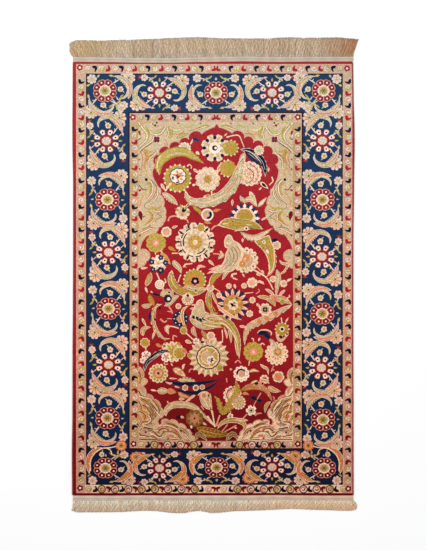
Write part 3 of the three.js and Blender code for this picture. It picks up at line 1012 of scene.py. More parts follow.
TWIST_MOTIFS: dict[Rosette, tuple[Motif, ...]] = {
    Rosette.RED: motifs("""
F border_fan_pale 6.7 -50 | 13.8 -23.8
L ARK 5.5 | -9.2 -23.4, -4 -24.4, 2 -25.2, 8 -23.8, 12.6 -19.6, 15.2 -14, 15.8 -8.4
L AV 5 8 -1 | 1.6 -22.8, 6.4 -22, 10.8 -18.8, 14 -14.4, 15.6 -9.4
L AV 2.4 | -8.2 -13.6, -8 -18.4, -4.6 -21.7, 0.6 -23, 6 -22.2
S K 0.8 | -3.4 -24.4, 2.4 -24.8, 8.4 -23, 12.6 -18.6
U RA 2.2 | 17.2 -15.6, 18.8 -20
S A 1 | 15.6 -9.6, 15.9 -6.8
U MV 2.6 | 15.9 -8.2, 17 -3.6
S A 1.4 | 8.4 -8.8, 10.4 -11.4, 12.2 -14.2
S A 0.9 | 10.2 -11, 12.8 -10.2
F curl_bud 3.1 -135 | 1.8 -15.6
S A 0.9 | -15.7 -14.4, -14.6 -11, -12 -7.6
F corner_palmette 4.5 -90 | -15.8 -18.8
U FG 2 | -15 -11.6, -12.4 -12.8
U OV 2.8 | -14.8 -11, -15.8 -6.4
U MO 2 | -15.4 -7.2, -18.8 -3.8
S A 1.2 | -13 -9.6, -11.4 -6.2
U LV 1.6 | -13.6 -0.6, -16.8 -0.2
"""),
    Rosette.PALE: motifs("""
F border_fan_rose 7.1 -55 | 12.8 -22.8
L AVR 5.2 | -8.6 -17.6, -6 -21.6, -1.6 -24, 4 -24.6, 9.6 -22, 13.4 -17, 15.4 -12, 16 -7.4
L AR 5 8 -1 | 3 -22.4, 7.4 -20.8, 11 -17.2, 13.6 -13, 15 -9
L AV 2.3 | -7.6 -13.2, -8.4 -17.4, -6.2 -21.4, -1.8 -23.8, 3.6 -24.4
S M 0.8 | -4.4 -22.8, 1.6 -24.4, 7.6 -22.6, 12 -17.6
U RA 2.4 | 17 -14, 18.8 -18.6
U RA 2.4 | 16 -8.8, 16.8 -4.4
S A 1.4 | 6.8 -7.4, 9.2 -10.8, 11.4 -13.8
S A 0.9 | 8.8 -10.2, 8 -12.4
S A 0.9 | 12.4 -4.6, 15 -7
F curl_bud 3.1 -125 | 1.7 -15.2
S A 0.9 | -16.6 -12.4, -15.9 -9, -12 -6.2
F red_cup 3.6 -95 | -17 -18.6
F corner_palmette 3.7 90 | -16.4 -15.2
U MV 2.6 | -15.6 -8.6, -12.2 -10.6
U FG 2.2 | -15.8 -8.8, -16 -5
U OM 2 | -16.2 -5.4, -19.4 -2.6
S A 1.2 | -12.6 -8.4, -10.8 -5.6
"""),
}

BLOOMS.update(blooms("""
red_rosette | RR 1 8 .1 | QZ 8 .46 .93 .56 22.5 | PW 8 .66 .84 .15 22.5 | RW .5 12 .1 | RF .42 12 .06
| RM .31 12 .06 | PH 6 .1 .29 .1 | RU .12
pale_rosette_border | PM 2 .96 1.3 .17 | PZ 8 .45 .84 .06 | QR 8 .54 1.02 .44 22.5 | QW 8 .6 .96 .33 22.5
| PX 8 .71 .88 .17 22.5 | RZ .56 8 .04 | RR .39 8 .12 | RA .33 8 .14 | RL .2 8 .14 | PW 4 .04 .2 .08
border_fan_pale | RA 1 9 .24 | PR 5 .5 .92 .2 0 180 | PV 4 .5 .9 .16 0 130 | RM .5 7 .18 | PA 5 .12 .46 .15 0 240
| RU .18
border_fan_rose | RA 1 9 .24 | PK 7 .46 .94 .19 0 240 | RG .5 7 .18 | PA 5 .12 .46 .15 0 240 | RU .2
border_fan_warm | RK 1 11 .2 | PR 9 .56 .9 .13 0 260 | RI .64 9 .18 | RG .56 9 .18 | PO 5 .12 .5 .14 0 280 | RD .18
curl_bud | PV 1 .6 1.9 .42 | RA 1 5 .24 | RM .5 5 .16 | PK 2 -.1 .4 .24
corner_palmette | RA 1 7 .22 | PK 7 .5 .76 .16 | RC .48 6 .14 | PA 4 .08 .42 .14 | RO .16
red_cup | PZ 3 -.5 1.1 .66 0 90 | PK 2 0 .8 .12 0 50
guard_flower | RD 1 5 .26 | RW .36 5 .1
guard_swirl_olive | RT 1.06 | RA .86 | AO .6 -30 160 .4 | AM .3 120 330 .34 | RI .14 0 0 .3
guard_swirl_rose | RT 1.06 | RA .86 | AK .6 -20 150 .3 | AT .34 120 330 .28 | RW .2 0 0 .3
foot_swirl_olive | RY 1.2 | RF .9 | AO .56 -20 150 .52 | AU .34 120 330 .34 | RI .14 0 0 .3
foot_swirl_rose | RY 1.2 | RA .9 | AK .56 -20 150 .48 | AZ .34 120 330 .34 | RW .16 0 0 .3
"""))


@dataclass(frozen=True)
class Band:
    """A rectangular frame of the design, by its outer edges on the chart."""

    left: float
    top: float
    right: float
    bottom: float

    def lay(self, chart: Chart, letter: str, inset: float = 0.0) -> None:
        """Lays the whole rectangle, drawn in by an inset, in one yarn."""
        low, high = complex(self.left + inset, self.top + inset), complex(self.right - inset, self.bottom - inset)
        corners = [low, complex(high.real, low.imag), high, complex(low.real, high.imag), low]
        outline: Outline = []
        for start, end in zip(corners, corners[1:]):
            outline += [start + (end - start) * step / 12 for step in range(12)]
        chart.lay(outline, letter)


HOOK = "-2.4 -2.3, -1 -2.7, 1.1 -2.5, 2.3 -1.4, 2.1 0.6, 1 2.7, -0.5 2.8, 0.2 1, -0.3 -0.2, -1.7 -0.3"
HOOK_SIZE = 1.14
HOOK_STEP = 12.6  # chart units from a mark to the next in the side rows
HOOK_TURNS = {  # degrees of turn and mirroring, by whether the row is upright and the mark is red
    (False, False): (0, False),
    (False, True): (180, True),
    (True, False): (-90, True),
    (True, True): (90, False),
}
SWIRL_RADIUS, FLOWER_RADIUS, ROSETTE_RADIUS = 3.6, 3.3, 11.9


@dataclass(frozen=True)
class GuardRow:
    """One straight row of a guard stripe: hooked marks in navy and red in turn, with a swirl between each two."""

    line: float
    upright: bool
    spots: tuple[float, ...]
    mirrored: bool = False
    turned_over: bool = False

    def spot(self, run: float) -> complex:
        """The chart place at a distance along the row."""
        return complex(self.line, run) if self.upright else complex(run, self.line)

    def lay(self, chart: Chart) -> None:
        """Lays the marks and the swirls between them."""
        for number, (run, following) in enumerate(zip(self.spots, self.spots[1:] + (None,))):
            red = number % 2 == 1
            turn, flip = HOOK_TURNS[self.upright, red]
            over = self.turned_over or (self.upright and run > 300)
            size = (-HOOK_SIZE if self.mirrored else HOOK_SIZE, -HOOK_SIZE if over else HOOK_SIZE)
            with chart.placed(self.spot(run), turn, flip, size):
                chart.lay(places(HOOK), "D" if red else "B")
                if red:
                    chart.lay(ring(-0.9 + 0.9j, 0.9), "R")
            if following is None:
                if not self.upright:
                    continue
                following = run + HOOK_STEP
            place, tone = "foot" if self.turned_over else "guard", "olive" if number % 4 in (0, 3) else "rose"
            chart.lay_bloom(f"{place}_swirl_{tone}", self.spot((run + following) / 2), SWIRL_RADIUS, 40.0 * number)


def stretch_out(marks: Sequence[float], numbers: Sequence[int]) -> tuple[float, ...]:
    """Evenly fills in a row's marks between the ones that are known, by their numbers in the row."""
    return tuple(float(spot) for spot in np.interp(range(numbers[-1] + 1), numbers, marks))


@dataclass(frozen=True)
class EndRosette:
    """A rosette at one end of the border: its kind, its middle, and the turn and mirroring of its leaf twists."""

    kind: Rosette
    right: float
    down: float
    twists: tuple[tuple[int, bool], ...]

    @property
    def at(self) -> complex:
        """The rosette's middle."""
        return complex(self.right, self.down)

    @property
    def low(self) -> bool:
        """Whether it is at the lower end."""
        return self.down > 300


END_ROSETTES = (
    EndRosette(Rosette.PALE, 159.5, 92.8, ((90, True), (270, True))),
    EndRosette(Rosette.PALE, 272.1, 92.7, ((90, False), (270, False))),
    EndRosette(Rosette.RED, 216.0, 92.8, ((90, False), (-90, True))),
    EndRosette(Rosette.PALE, 159.5, 468.1, ((90, False), (270, False))),
    EndRosette(Rosette.PALE, 272.1, 467.2, ((90, True), (270, True))),
    EndRosette(Rosette.RED, 216.7, 467.5, ((90, True), (-90, False))),
    EndRosette(Rosette.RED, 104.9, 90.7, ((90, True), (180, False))),
    EndRosette(Rosette.RED, 323.6, 90.7, ((-90, False), (180, True))),
    EndRosette(Rosette.RED, 105.4, 468.1, ((90, False),)),
    EndRosette(Rosette.RED, 324.1, 468.1, ((-90, True),)),
)


@dataclass(frozen=True)
class Design:
    """The whole carpet design: stripes, main border, corners and the flowered field."""

    pile: Band = Band(68, 56, 360, 501)
    outer_guard: Band = Band(76.3, 64.2, 352.1, 493)
    border: Band = Band(86, 73.5, 342.8, 484.9)
    inner_guard: Band = Band(129.4, 112.9, 302, 448.4)
    field: Band = Band(138.5, 122, 293.2, 441)
    side_rosettes: tuple[tuple[str, float, float], ...] = (
        ("PALE", 106.4, 140.9), ("RED", 107.4, 199.6), ("PALE", 108.5, 252.3), ("RED", 108.5, 308.7),
        ("PALE", 108.5, 364.8), ("RED", 107.4, 418.1), ("PALE", 322.5, 140.6), ("RED", 322.5, 199.7),
        ("PALE", 322.0, 256.6), ("RED", 322.3, 313.6), ("PALE", 321.4, 367.8), ("RED", 323.0, 419.8),
    )

    def draw(self) -> Chart:
        """Lays the whole design.

        Returns:
            The chart with every shape in the order of laying.
        """
        chart = Chart()
        self.pile.lay(chart, "D")
        self.lay_guards(chart)
        self.lay_border(chart)
        self.field.lay(chart, "S")
        self.lay_corners(chart)
        self.lay_ground(chart)
        chart.lay_motifs(FIELD_MOTIFS)
        return chart

    def lay_guards(self, chart: Chart) -> None:
        """Lays the grounds of the stripes and the border, and the two guard stripes' marks."""
        Band(68, 492.9, 360, 494.2).lay(chart, "E")
        self.outer_guard.lay(chart, "R", -0.2)
        self.lay_guard_ground(chart, self.outer_guard, self.border, "C", "I")
        self.border.lay(chart, "X")
        self.border.lay(chart, "N", 1)
        # painted shade: the border's foot is laid in the darker navy
        replace(self.border, top=446.0).lay(chart, "Q", 1)
        self.inner_guard.lay(chart, "X", -1)
        self.lay_guard_ground(chart, self.inner_guard, self.field, "S", "C")
        outer_side = stretch_out((81.5, 105.5, 154.7, 206.7, 253, 277.1, 425.6, 474.5), (0, 2, 6, 10, 14, 16, 28, 32))
        inner_side = stretch_out((129, 155, 207.1, 254.2, 277.9, 403.3, 427.5), (0, 2, 6, 10, 12, 22, 24))
        for line, mirrored in ((81.3, False), (348.2, True)):
            GuardRow(line, True, outer_side, mirrored=mirrored).lay(chart)
        for line, mirrored in ((134.6, False), (297.7, True)):
            GuardRow(line, True, inner_side, mirrored=mirrored).lay(chart)
        rows = (
            (68.6, False, (94.7, 201.3), (231, 333.4), 8),
            (117.4, False, (147.3, 200.4), (232.7, 283.1), 4),
            (489.2, True, (95.1, 201.3), (231, 336.5), 8),
            (444.9, True, (147.7, 200.4), (233.1, 283.6), 4),
        )
        for line, over, left, right, steps in rows:
            GuardRow(line, False, stretch_out(left, (0, steps)), turned_over=over).lay(chart)
            GuardRow(line, False, stretch_out(right, (0, steps)), mirrored=True, turned_over=over).lay(chart)
            for run, tone in ((left[0] - 6.6, "olive"), (right[1] + 6.8, "olive"), (208.6, "rose"), (223.9, "rose")):
                chart.lay_bloom(f"guard_swirl_{tone}", complex(run, line), FLOWER_RADIUS)
            for side in (-1, 1):
                with chart.placed(complex(216 + side * 2.2, line), 180, True, (-side, -1 if over else 1)):
                    chart.lay(places(HOOK), "D")
        outer_corners = "79.8 67.6, 347.1 68.4, 80.1 488, 348.3 488.7"
        for corner in places(outer_corners + ", 132.9 117.2, 297.8 117.1, 133.6 443.9, 297.8 443.9"):
            chart.lay_bloom("guard_flower", corner, FLOWER_RADIUS)

    def lay_guard_ground(self, chart: Chart, guard: Band, inner: Band, side: str, foot: str) -> None:
        """Lays a guard's ground, whose tone changes on its way down.

        Args:
            chart: the design.
            guard: the guard stripe.
            inner: the stripe inside it.
            side: the yarn of its sides.
            foot: the yarn of its foot.
        """
        guard.lay(chart, "C", 0.3)
        Band(guard.left, inner.top, guard.right, inner.bottom).lay(chart, side, 0.4)
        Band(inner.left - 1, inner.bottom - 1, inner.right + 1, guard.bottom).lay(chart, foot, 0.2)

    def lay_twist(
        self,
        chart: Chart,
        kind: Rosette,
        at: complex,
        turn: float,
        flip: bool,
        squeeze: tuple[float, float] = (1.0, 1.0),
        warm: bool = False,
    ) -> None:
        """Lays one leaf twist of a rosette: its leaf, palmettes, bud and sprig.

        Args:
            chart: the design.
            kind: the rosette that it belongs to.
            at: the rosette's middle.
            turn: degrees that the twist is turned.
            flip: mirrors it.
            squeeze: scale right and down.
            warm: uses the coral yarns of the lower end.
        """
        with chart.placed(at, turn, flip, squeeze):
            for motif in TWIST_MOTIFS[kind]:
                if warm and isinstance(motif, Leaf) and motif.width > 3:
                    motif = replace(motif, yarns="IKG" if motif.width > 5.1 else "IGK")
                elif warm and isinstance(motif, Bloom) and motif.pattern == "border_fan_rose":
                    motif = replace(motif, pattern="border_fan_warm")
                motif.lay(chart)

    def lay_rosette(
        self, chart: Chart, kind: Rosette, at: complex, stretch: tuple[float, float], turn: float = 0.0
    ) -> None:
        """Lays one rosette of the border.

        Args:
            chart: the design.
            kind: which rosette.
            at: its middle.
            stretch: scale right and down.
            turn: degrees that it is turned.
        """
        with chart.placed(at, turn, False, stretch):
            chart.lay_bloom(kind.value, 0j, ROSETTE_RADIUS)

    def lay_border(self, chart: Chart) -> None:
        """Lays the main border: the side columns, the two ends and the four corners."""
        for name, right, down in self.side_rosettes:
            for turn in (0, 180):
                self.lay_twist(chart, Rosette[name], complex(right, down), turn, right > 200)
        for rosette in END_ROSETTES:
            squeeze = (1.0, 0.84 if rosette.low else 0.92)
            for turn, flip in rosette.twists:
                self.lay_twist(chart, rosette.kind, rosette.at, turn, flip, squeeze, warm=rosette.low)
        for laid, corners in (
            (LOWER_CORNER_MOTIFS, (105.4 + 468.1j, 324.1 + 468.1j)),
            (UPPER_CORNER_MOTIFS, (104.9 + 90.7j, 323.6 + 90.7j)),
        ):
            for corner, flip in zip(corners, (False, True)):
                with chart.placed(corner, 0, flip):
                    chart.lay_motifs(laid)
        for name, right, down in self.side_rosettes:
            self.lay_rosette(chart, Rosette[name], complex(right, down), (1.05, 0.95))
        for rosette in sorted(END_ROSETTES, key=lambda rosette: (rosette.low, rosette.right)):
            turn = 90 if rosette.kind is Rosette.PALE else 0
            self.lay_rosette(chart, rosette.kind, rosette.at, (1.02, 0.88 if rosette.low else 0.97), turn)

    def lay_corners(self, chart: Chart) -> None:
        """Lays the pale corners' clouds, veins and florets, with painted light on the lower right corner's ground."""
        for flip in (False, True):
            with chart.placed(complex(215.6, 0), 0, flip), chart.placed(complex(-215.6, 0)):
                Band(138.5, 122, 215.6, 300).lay(chart, "F")
                chart.lay_motifs(UPPER_CLOUDS)
            with chart.placed(complex(215.8, 0), 0, flip), chart.placed(complex(-215.8, 0)):
                # painted light: the lower right corner's ground is ivory, the lower left one fawn
                Band(138.5, 330, 215.8, 441).lay(chart, "I" if flip else "F")
                chart.lay_motifs(LOWER_CLOUDS)

    def lay_ground(self, chart: Chart) -> None:
        """Lays the red ground with its arched edge."""
        for edge in (GROUND_LEFT, GROUND_RIGHT):
            for text, rise in edge.stretches:
                chart.lay(ribbon(arched(text, rise), 2.4, 1), "C")
        chart.lay(GROUND_LEFT.points() + list(reversed(GROUND_RIGHT.points())), "D")


@dataclass(frozen=True)
class GroundEdge:
    """One side of the red ground's edge: stretches of arches between notches, from the top tip down."""

    stretches: tuple[tuple[str, float], ...]

    def points(self) -> Outline:
        """The edge from top to bottom."""
        run: Outline = []
        for text, rise in self.stretches:
            run += arched(text, rise)
        return run


GROUND_LEFT = GroundEdge((
    ("216.5 124.2, 214.2 128", -0.1),
    ("214.2 128, 208 130.2, 202 134.6", -0.2),
    ("202 134.6, 189 139.9, 179.9 144.4, 169.7 148.8, 159.6 154.6, 156.6 165.6", -0.85),
    ("156.6 165.6, 153 170.6, 152.9 175, 156 181.8, 159.4 187.4", -0.12),
    ("159.4 187.4, 160.2 194.6, 163.5 206.2, 165.4 214.9, 163.6 222.6, 158.8 227.4, 154.4 233, 148.6 235.4", 0.4),
    ("148.6 235.4, 144.4 239.6, 141.6 245, 140.8 249.4", -0.2),
    ("140.8 249.4, 147.6 250.8, 150 256, 146.4 261.4, 139.4 267.4, 138.5 268", 0.4),
    ("138.5 366.4, 144 372.8, 143.2 377.6, 147.9 380.6, 142.3 386.1, 146.2 391, 146.3 394.2", 0.35),
    ("146.3 394.2, 153.8 399.2, 160.6 407.4, 163 416.6, 159.4 418", 0.5),
    ("159.4 418, 157.8 421.6, 159.4 425.2, 161.6 423.4, 161 421", 0.2),
    ("161 421, 169.1 420.6, 178.6 423.8, 186.4 429, 191.8 435, 194.6 441", 0.55),
))
GROUND_RIGHT = GroundEdge((
    ("216.6 124.2, 219.2 128", 0.1),
    ("219.2 128, 225.4 130, 231.9 134", 0.2),
    ("231.9 134, 244.1 138.6, 253.2 143, 263.1 147.8, 272.2 154, 275.2 164.6", 0.85),
    ("275.2 164.6, 278.3 170, 277.6 176, 275 182.6, 271.6 188.6", 0.12),
    ("271.6 188.6, 270.8 195, 267.4 205.4, 265.9 214.4, 268.6 220.4, 273.4 226, 278 231.6, 283.4 234.4", -0.4),
    ("283.4 234.4, 287.6 239.6, 290.6 245, 292 249.8", 0.2),
    ("292 249.8, 285.6 251.3, 283.4 256.4, 286.6 261.4, 293.1 268.6", -0.4),
    ("293.2 367.4, 287.4 373.4, 288 378.6, 283.6 381.6, 289.4 387, 285.2 392.6, 285 395.4", -0.35),
    ("285 395.4, 277.6 400, 271 408, 268.2 416.6, 271.4 418.6", -0.5),
    ("271.4 418.6, 272.9 422, 271.4 425.4, 269.4 423.8, 269.9 421.4", -0.2),
    ("269.9 421.4, 262 421, 252.6 424, 244.9 429.4, 239.6 435.4, 237 441", -0.55),
))

LOWER_CORNER_MOTIFS = motifs("""
L IKG 5.4 9 -1 | -16 6, -17.4 -4, -15.6 -12, -10.6 -18, -3 -20.6
S I 1.3 | -15 3, -15 -7, -10.6 -15, -2 -20, 4.4 -18.4, 6.8 -13.2
S I 1.2 | -2 -20, 6 -20.6, 13 -22.4
F border_fan_warm 5.6 -60 | 15.8 -22.5
F curl_bud 2.8 -80 | -3.6 -13.6
S F 1.1 | 9 -8.4, 14.4 -13.6, 19.6 -17.6
U OF 2.4 | 12.6 -12.4, 19.2 -11.4
U OF 2.2 | 12.4 -13.2, 12.6 -18.4
F corner_palmette 4.6 135 | -12.8 12.4
U OM 1.8 | -18 8.6, -14 5.4
""")
UPPER_CORNER_MOTIFS = motifs("""
F corner_palmette 5 -135 | -13 -11.6
U MF 2.2 | -18.4 -4.6, -14.4 -6.6
U MF 2.2 | -5.6 -16, -8 -12.6
S F 1.2 | 7 8, 12.6 14.4, 17.8 20.2
U OF 2.4 | 11.4 13.4, 12.6 19.4
U OF 2.4 | 13 12.6, 18.6 12.6
""")
UPPER_CLOUDS = motifs("""
L VR 5 | 139 146, 144 156, 143 168, 140 178
L VR 5 | 164 138, 166 146, 162 152
L VM 5 | 176 139, 182 135.4, 190 133.6
S IU 1.7 | 138.7 123, 141.9 127.1, 146.5 133, 146.9 137.4, 145.1 141.6, 140 146.4
S IU 1.7 | 165.5 126.6, 163.3 130.7, 159.6 134.4, 155.1 134.8, 151 133
S IU 1.5 | 139.6 150.6, 143.3 147, 149 143.4, 152.6 140.4, 153.7 136
S H .7 | 139.6 153.5, 143.3 148.8, 147.5 146.2, 151.9 143.2, 154.5 141
S M 1.6 | 138 129, 141 125, 145 122.6, 150.5 122.9
S IU 1.3 | 167.2 127.4, 168.4 133, 167.4 138
S K 1.1 | 174.6 133, 176.9 134.6, 181.5 133.2, 184.6 130.4
S IU 1.2 | 190 132, 196 129.6, 203 127.4, 209 125.6
L MO 2.8 | 145.1 125.6, 147.8 129.8, 149 135.3, 147.1 142
L MV 3.4 | 153 131.6, 157.4 132.4, 162.8 128.6
L OM 3 | 167.2 126.2, 171.5 131.2, 171.2 136.2, 169.2 139.2
L MI 3 | 167.8 125.6, 173.3 129.6, 178.6 130, 187 125.6
L OG 3.6 | 143.8 148.4, 147.2 155.3, 146.7 160.3, 144 164.6
L GM 2.4 | 144.8 149, 149.2 151.8, 154.4 150.7
L VM 2.6 | 186 128, 192 125.4, 199 126
L MG 2.2 | 200 127, 205 125.4, 211 126
S H .7 | 149.8 157.4, 150.3 155.6, 152.4 154.3, 155.1 152.5, 155.7 149.6
S IU 1.4 | 156 152.8, 151.6 156.8, 149.2 159.4, 148.7 168
S M 1.3 | 144.4 166, 146.8 172, 145 178
L OM 2.7 | 145.6 182.6, 150.4 184.9, 151 190.5, 148.4 195
S IU 1.8 | 148.6 180.2, 151.4 182.4, 152.9 187, 151.6 194.3, 147.3 199.3
S H .7 | 149.8 179.3, 153.5 182.4, 156.6 187.4, 155.4 193, 152.3 198.6, 146.6 202.4, 144.4 205.3, 145.4 208,
148.2 209.4
L LV 3.4 | 147 203.4, 156.6 200.9, 162 196.6
S IU 1.3 | 157 190.4, 157.6 194.6, 154 200.6, 149.4 203.6
S M 1.3 | 139.6 206, 142 198, 146 192, 145 188
L OM 2.3 | 146.6 209.9, 152.3 208.2, 157.6 208.6, 162.4 204.6
L OG 2.8 | 147.5 210.4, 151.7 214.3, 152.1 218, 148.3 222.4, 142.3 226.7
S IU 1.4 | 154.4 211, 158.6 211.6, 163.4 209.6
S H .7 | 157.3 213.6, 161.6 216.6, 157.6 219, 155.9 220.2, 155.3 222.6
S IU 1.3 | 154 214.6, 153.8 219.4, 149.8 223.4
S H .7 | 141.6 229.3, 149.1 226.8, 149.8 224.3, 151 227.4, 153.5 227.4
S IU 1.4 | 140 233.4, 146 230.4, 150.4 228.6, 154.6 229.4
S M 1.2 | 139.4 222, 143 217, 147.4 214
S M 1.2 | 139.6 238.6, 143.6 235, 147 233.4
L RK 1.8 | 139.4 199, 140.8 203, 139.8 207
U DD 1.5 | 151.9 123.6, 154.1 124.4
F eye_drop 1.2 | 155.2 125.4
F eye_drop 1 | 156.9 122.9
U RK 2.4 | 156.4 126.6, 160.4 125
F plum_floret 3.4 | 156.7 139.5
U DD 2.4 | 138.8 130.2, 140.4 136
U WR 1.8 | 138.6 135.4, 139.8 138.4
S X 1 | 138.6 139.8, 141.4 137.4
U UU 1.3 | 138.6 160.4, 140.8 158.4
U UU 1.6 | 176.9 123.8, 179.6 122.8
U UU 1.6 | 199.3 123.8, 202 122.8
F eye_drop 1.5 | 146.3 179.6
S P 1 | 138.8 184.8, 141 187.6, 143.5 189.9, 146.8 189.3
U DD 2.4 | 138.6 191.2, 141.4 189
U PE 4.4 | 139.8 210.8, 141.6 221
S P .9 | 142.8 217, 144.8 216.2
U EE 1.6 | 139.2 236.6, 141 233.6
U DD 1.4 | 139 168, 140.6 170.4
""")
LOWER_CLOUDS = motifs("""
L CS 4 | 138.4 369, 141.6 374, 141 381
L CS 3.6 | 138.6 385, 142.6 389.6, 143.6 395
S Y 1.1 | 138.6 372, 140.8 377, 139.4 383.4
S Y 1.1 | 138.6 391, 141.4 395.4, 145.6 397
S IU 1.3 | 139.4 396.4, 144.4 397.4, 149.4 398.6
L CK 5 | 162 428, 169 425.6, 175.4 428.6, 178.4 434
L SK 4.4 | 181 428, 185.4 432, 188.6 438
S IU 2 | 143.5 399.6, 148.5 402.8, 153.5 407.2, 156.6 412, 160.4 416.4
S Y 1.0 | 147.9 399.6, 151.6 404.2, 155.4 409, 156.6 411.4
S OU 1.5 | 152.6 399.4, 156 402.6, 158.8 406.8, 160.4 411
S Y .9 | 155.4 403.6, 158.4 408, 159.4 413
U OO 2.4 | 147.4 400, 151.2 401.8
S FU 1.9 | 142.6 403.6, 148.5 409.2, 151.6 414.6, 152.3 421
S Y 1.0 | 142.9 404.7, 147.3 408, 151 413.3, 154 419.4
S IU 1.3 | 146 404.6, 150.4 408.4, 154 414.4, 156.6 420
U KK 2.2 | 143.2 406.6, 145.8 410
S G 2.2 | 139.8 405.4, 141.4 410.8, 146 412.4, 147.8 415.4, 145.8 419.2, 142 422.4
F coral_spot 2.4 | 144 416.2
S Y .9 | 138.8 401, 141 405.6, 142.2 409.4
S Y .9 | 139.2 411.4, 143.6 413.4, 145.6 416.6, 143.6 419.6
U MO 3.6 | 138.8 414.6, 139.2 420.6
S Y 1.3 | 137 423.6, 141.2 427.2
S Y 1.5 | 143.6 427.4, 148.6 428.4, 153.3 429.2
S FU 1.2 | 146.6 424.4, 150.6 425.2, 155.4 423.2
S Y 1.0 | 139 425.8, 142 422.8, 147.6 421.6, 152.4 424
L RI 3 | 156 426, 160.6 425.4, 165 427
S IU 1.5 | 154.6 431, 159 430.2, 165.4 425.2, 176 428.6, 181.4 434.8
S Y 1.0 | 147.9 429.6, 153.5 431.4, 157.3 435.1, 160.4 436.4, 163.5 432.8, 169.8 431.4, 176 433.9, 181 439.5
S IU 1.4 | 149.4 432.6, 154 434.4, 158.4 437.8, 163 436.6, 166.4 434.6
L IC 2.4 | 165 436.4, 170 434.4, 175.6 436.6
S FU 1.4 | 139.2 424.4, 141.4 426.6, 139.4 429.4
F curl_rose 2.8 | 144.2 432.2
U WI 1.9 | 149.8 432.8, 153.6 435
U UX 2.6 | 176 425.8, 179.2 427.8
U UX 2.2 | 180.2 429.4, 182 432.4
U OU 2.9 | 162.6 432.8, 165.6 430.6
U OU 2.4 | 157 431.4, 160 433.4
S IU 1.5 | 140 436.6, 147.4 437, 154 438.2, 160 440
S Y 1.0 | 139.4 439.4, 150 439.6, 165 440.2, 180 439.6, 190 440.4
S Y .9 | 139.8 434.6, 145 435.8, 149 437
S FU 1.1 | 163.4 421.9, 170 422.9, 176.6 425.8, 183.4 429.8, 188.4 435.4
S Y 1.0 | 165.6 422.9, 172.6 424.2, 178 427
S Y 1.0 | 183.6 431.4, 185 434.6, 189.4 439.4
S IU 1.2 | 172 438.4, 178 438.6, 184.4 440.2
S GU 1 | 139 374.6, 140.6 379, 139.6 384
S RU 1.1 | 145.6 395.6, 150.4 397.4, 155 400.6, 158.4 404.6
S GU 1 | 140.4 399, 145 401.6, 149.6 405.6
S Y .8 | 141.6 398.6, 146.4 401, 151 405, 154.6 410.4, 156.4 416
S RU 1.2 | 139.6 417.6, 141.4 421, 139.8 424.4
S GU 1.1 | 148.6 406.6, 152.6 411.4, 155 417
S Y .8 | 150.4 407.4, 154 412.6, 156 418.4
S IU 1.2 | 148.4 415.4, 150.6 419.4, 148.4 422.6, 144.4 423.6
S Y .8 | 149.8 414.2, 152.2 419.6, 149.8 423.6, 145 425
S RU 1.2 | 157.4 429.4, 161 427.6, 165.4 427.6, 169.6 430.2
S Y .8 | 158.6 430.8, 162 428.8, 166 429, 169 431.4
S GU 1.2 | 171 430.6, 175.4 432, 179 435.6, 181.6 439.4
S RU 1.1 | 166.4 438, 169.6 436.2, 173.6 435.8
S FU 1.2 | 140 431.4, 143 429.6, 147 430.4, 149 432.4
S Y .8 | 139 432.8, 141.4 435, 145.6 435.6
S GU 1.1 | 150.6 436.2, 154.4 437.4, 158 439.4
S IU 1.2 | 184.4 433.8, 187.4 436.6, 189.6 440
U EE 1.4 | 167.4 438.6, 169.4 438.8
""")


BOTH_ENDS = (1, -1)


class Wander:
    """Reads the carpet's measured unevenness along an edge, with smooth steps between the known places."""

    def __init__(self, rows: str) -> None:
        """Reads rows of numbers: the place along the edge, then one or two values there, in millimetres."""
        self.table = np.array([[float(word) for word in row.split()] for row in rows.split(",")])

    def at(self, place: np.ndarray | float, column: int = 1) -> np.ndarray:
        """The value at a place, or at each of several.

        Args:
            place: distance along the edge in millimetres.
            column: which of the row's values.

        Returns:
            The value there, in millimetres.
        """
        known, values = self.table[:, 0], self.table[:, column]
        spot = np.clip(np.asarray(place, float), known[0], known[-1])
        row = np.clip(np.searchsorted(known, spot, "right") - 1, 0, len(known) - 2)
        share = (spot - known[row]) / (known[row + 1] - known[row])
        return values[row] + (values[row + 1] - values[row]) * share * share * (3 - 2 * share)


SIDE_WANDER = Wander(
    "0 -0.4 -1.8, 120 0.1 -0.2, 224 0.7 2.7, 280 0.6 3.4, 434 -1.7 1.4, 644 -1.8 -0.9, 854 -1.0 -1.1,"
    "1012 0.3 -0.9, 1222 0.8 -0.3, 1379 2.7 -0.1, 1516 2.0 0.3"
)
END_WANDER = Wander(
    "-492 0.2 0.3, -361 -1.0 0.6, -256 -3.0 -0.5, -151 -3.3 0.4, -46 -0.5 -0.3, 112 1.6 -0.2, 217 -0.2 -1.2,"
    "374 1.0 0.3, 492 1.4 0.2"
)
FRINGES = {
    1: Wander(
        "-492 52 -7, -470 60 -8, -388 59 -3, -305 63 -7, -221 67 3, -137 71 -3, -53 71 -8, 59 65 -2, 115 64 -6,"
        "171 65 1, 255 70 6, 311 67 8, 420 68 13, 492 62 17"
    ),
    -1: Wander(
        "-492 36 -3, -470 42 -2, -333 41 1, -221 37 -2, -116 45 2, -53 38 -1, 0 45 2, 87 38 -2, 171 36 1,"
        "283 31 -1, 374 34 2, 479 37 5, 492 32 8"
    ),
}


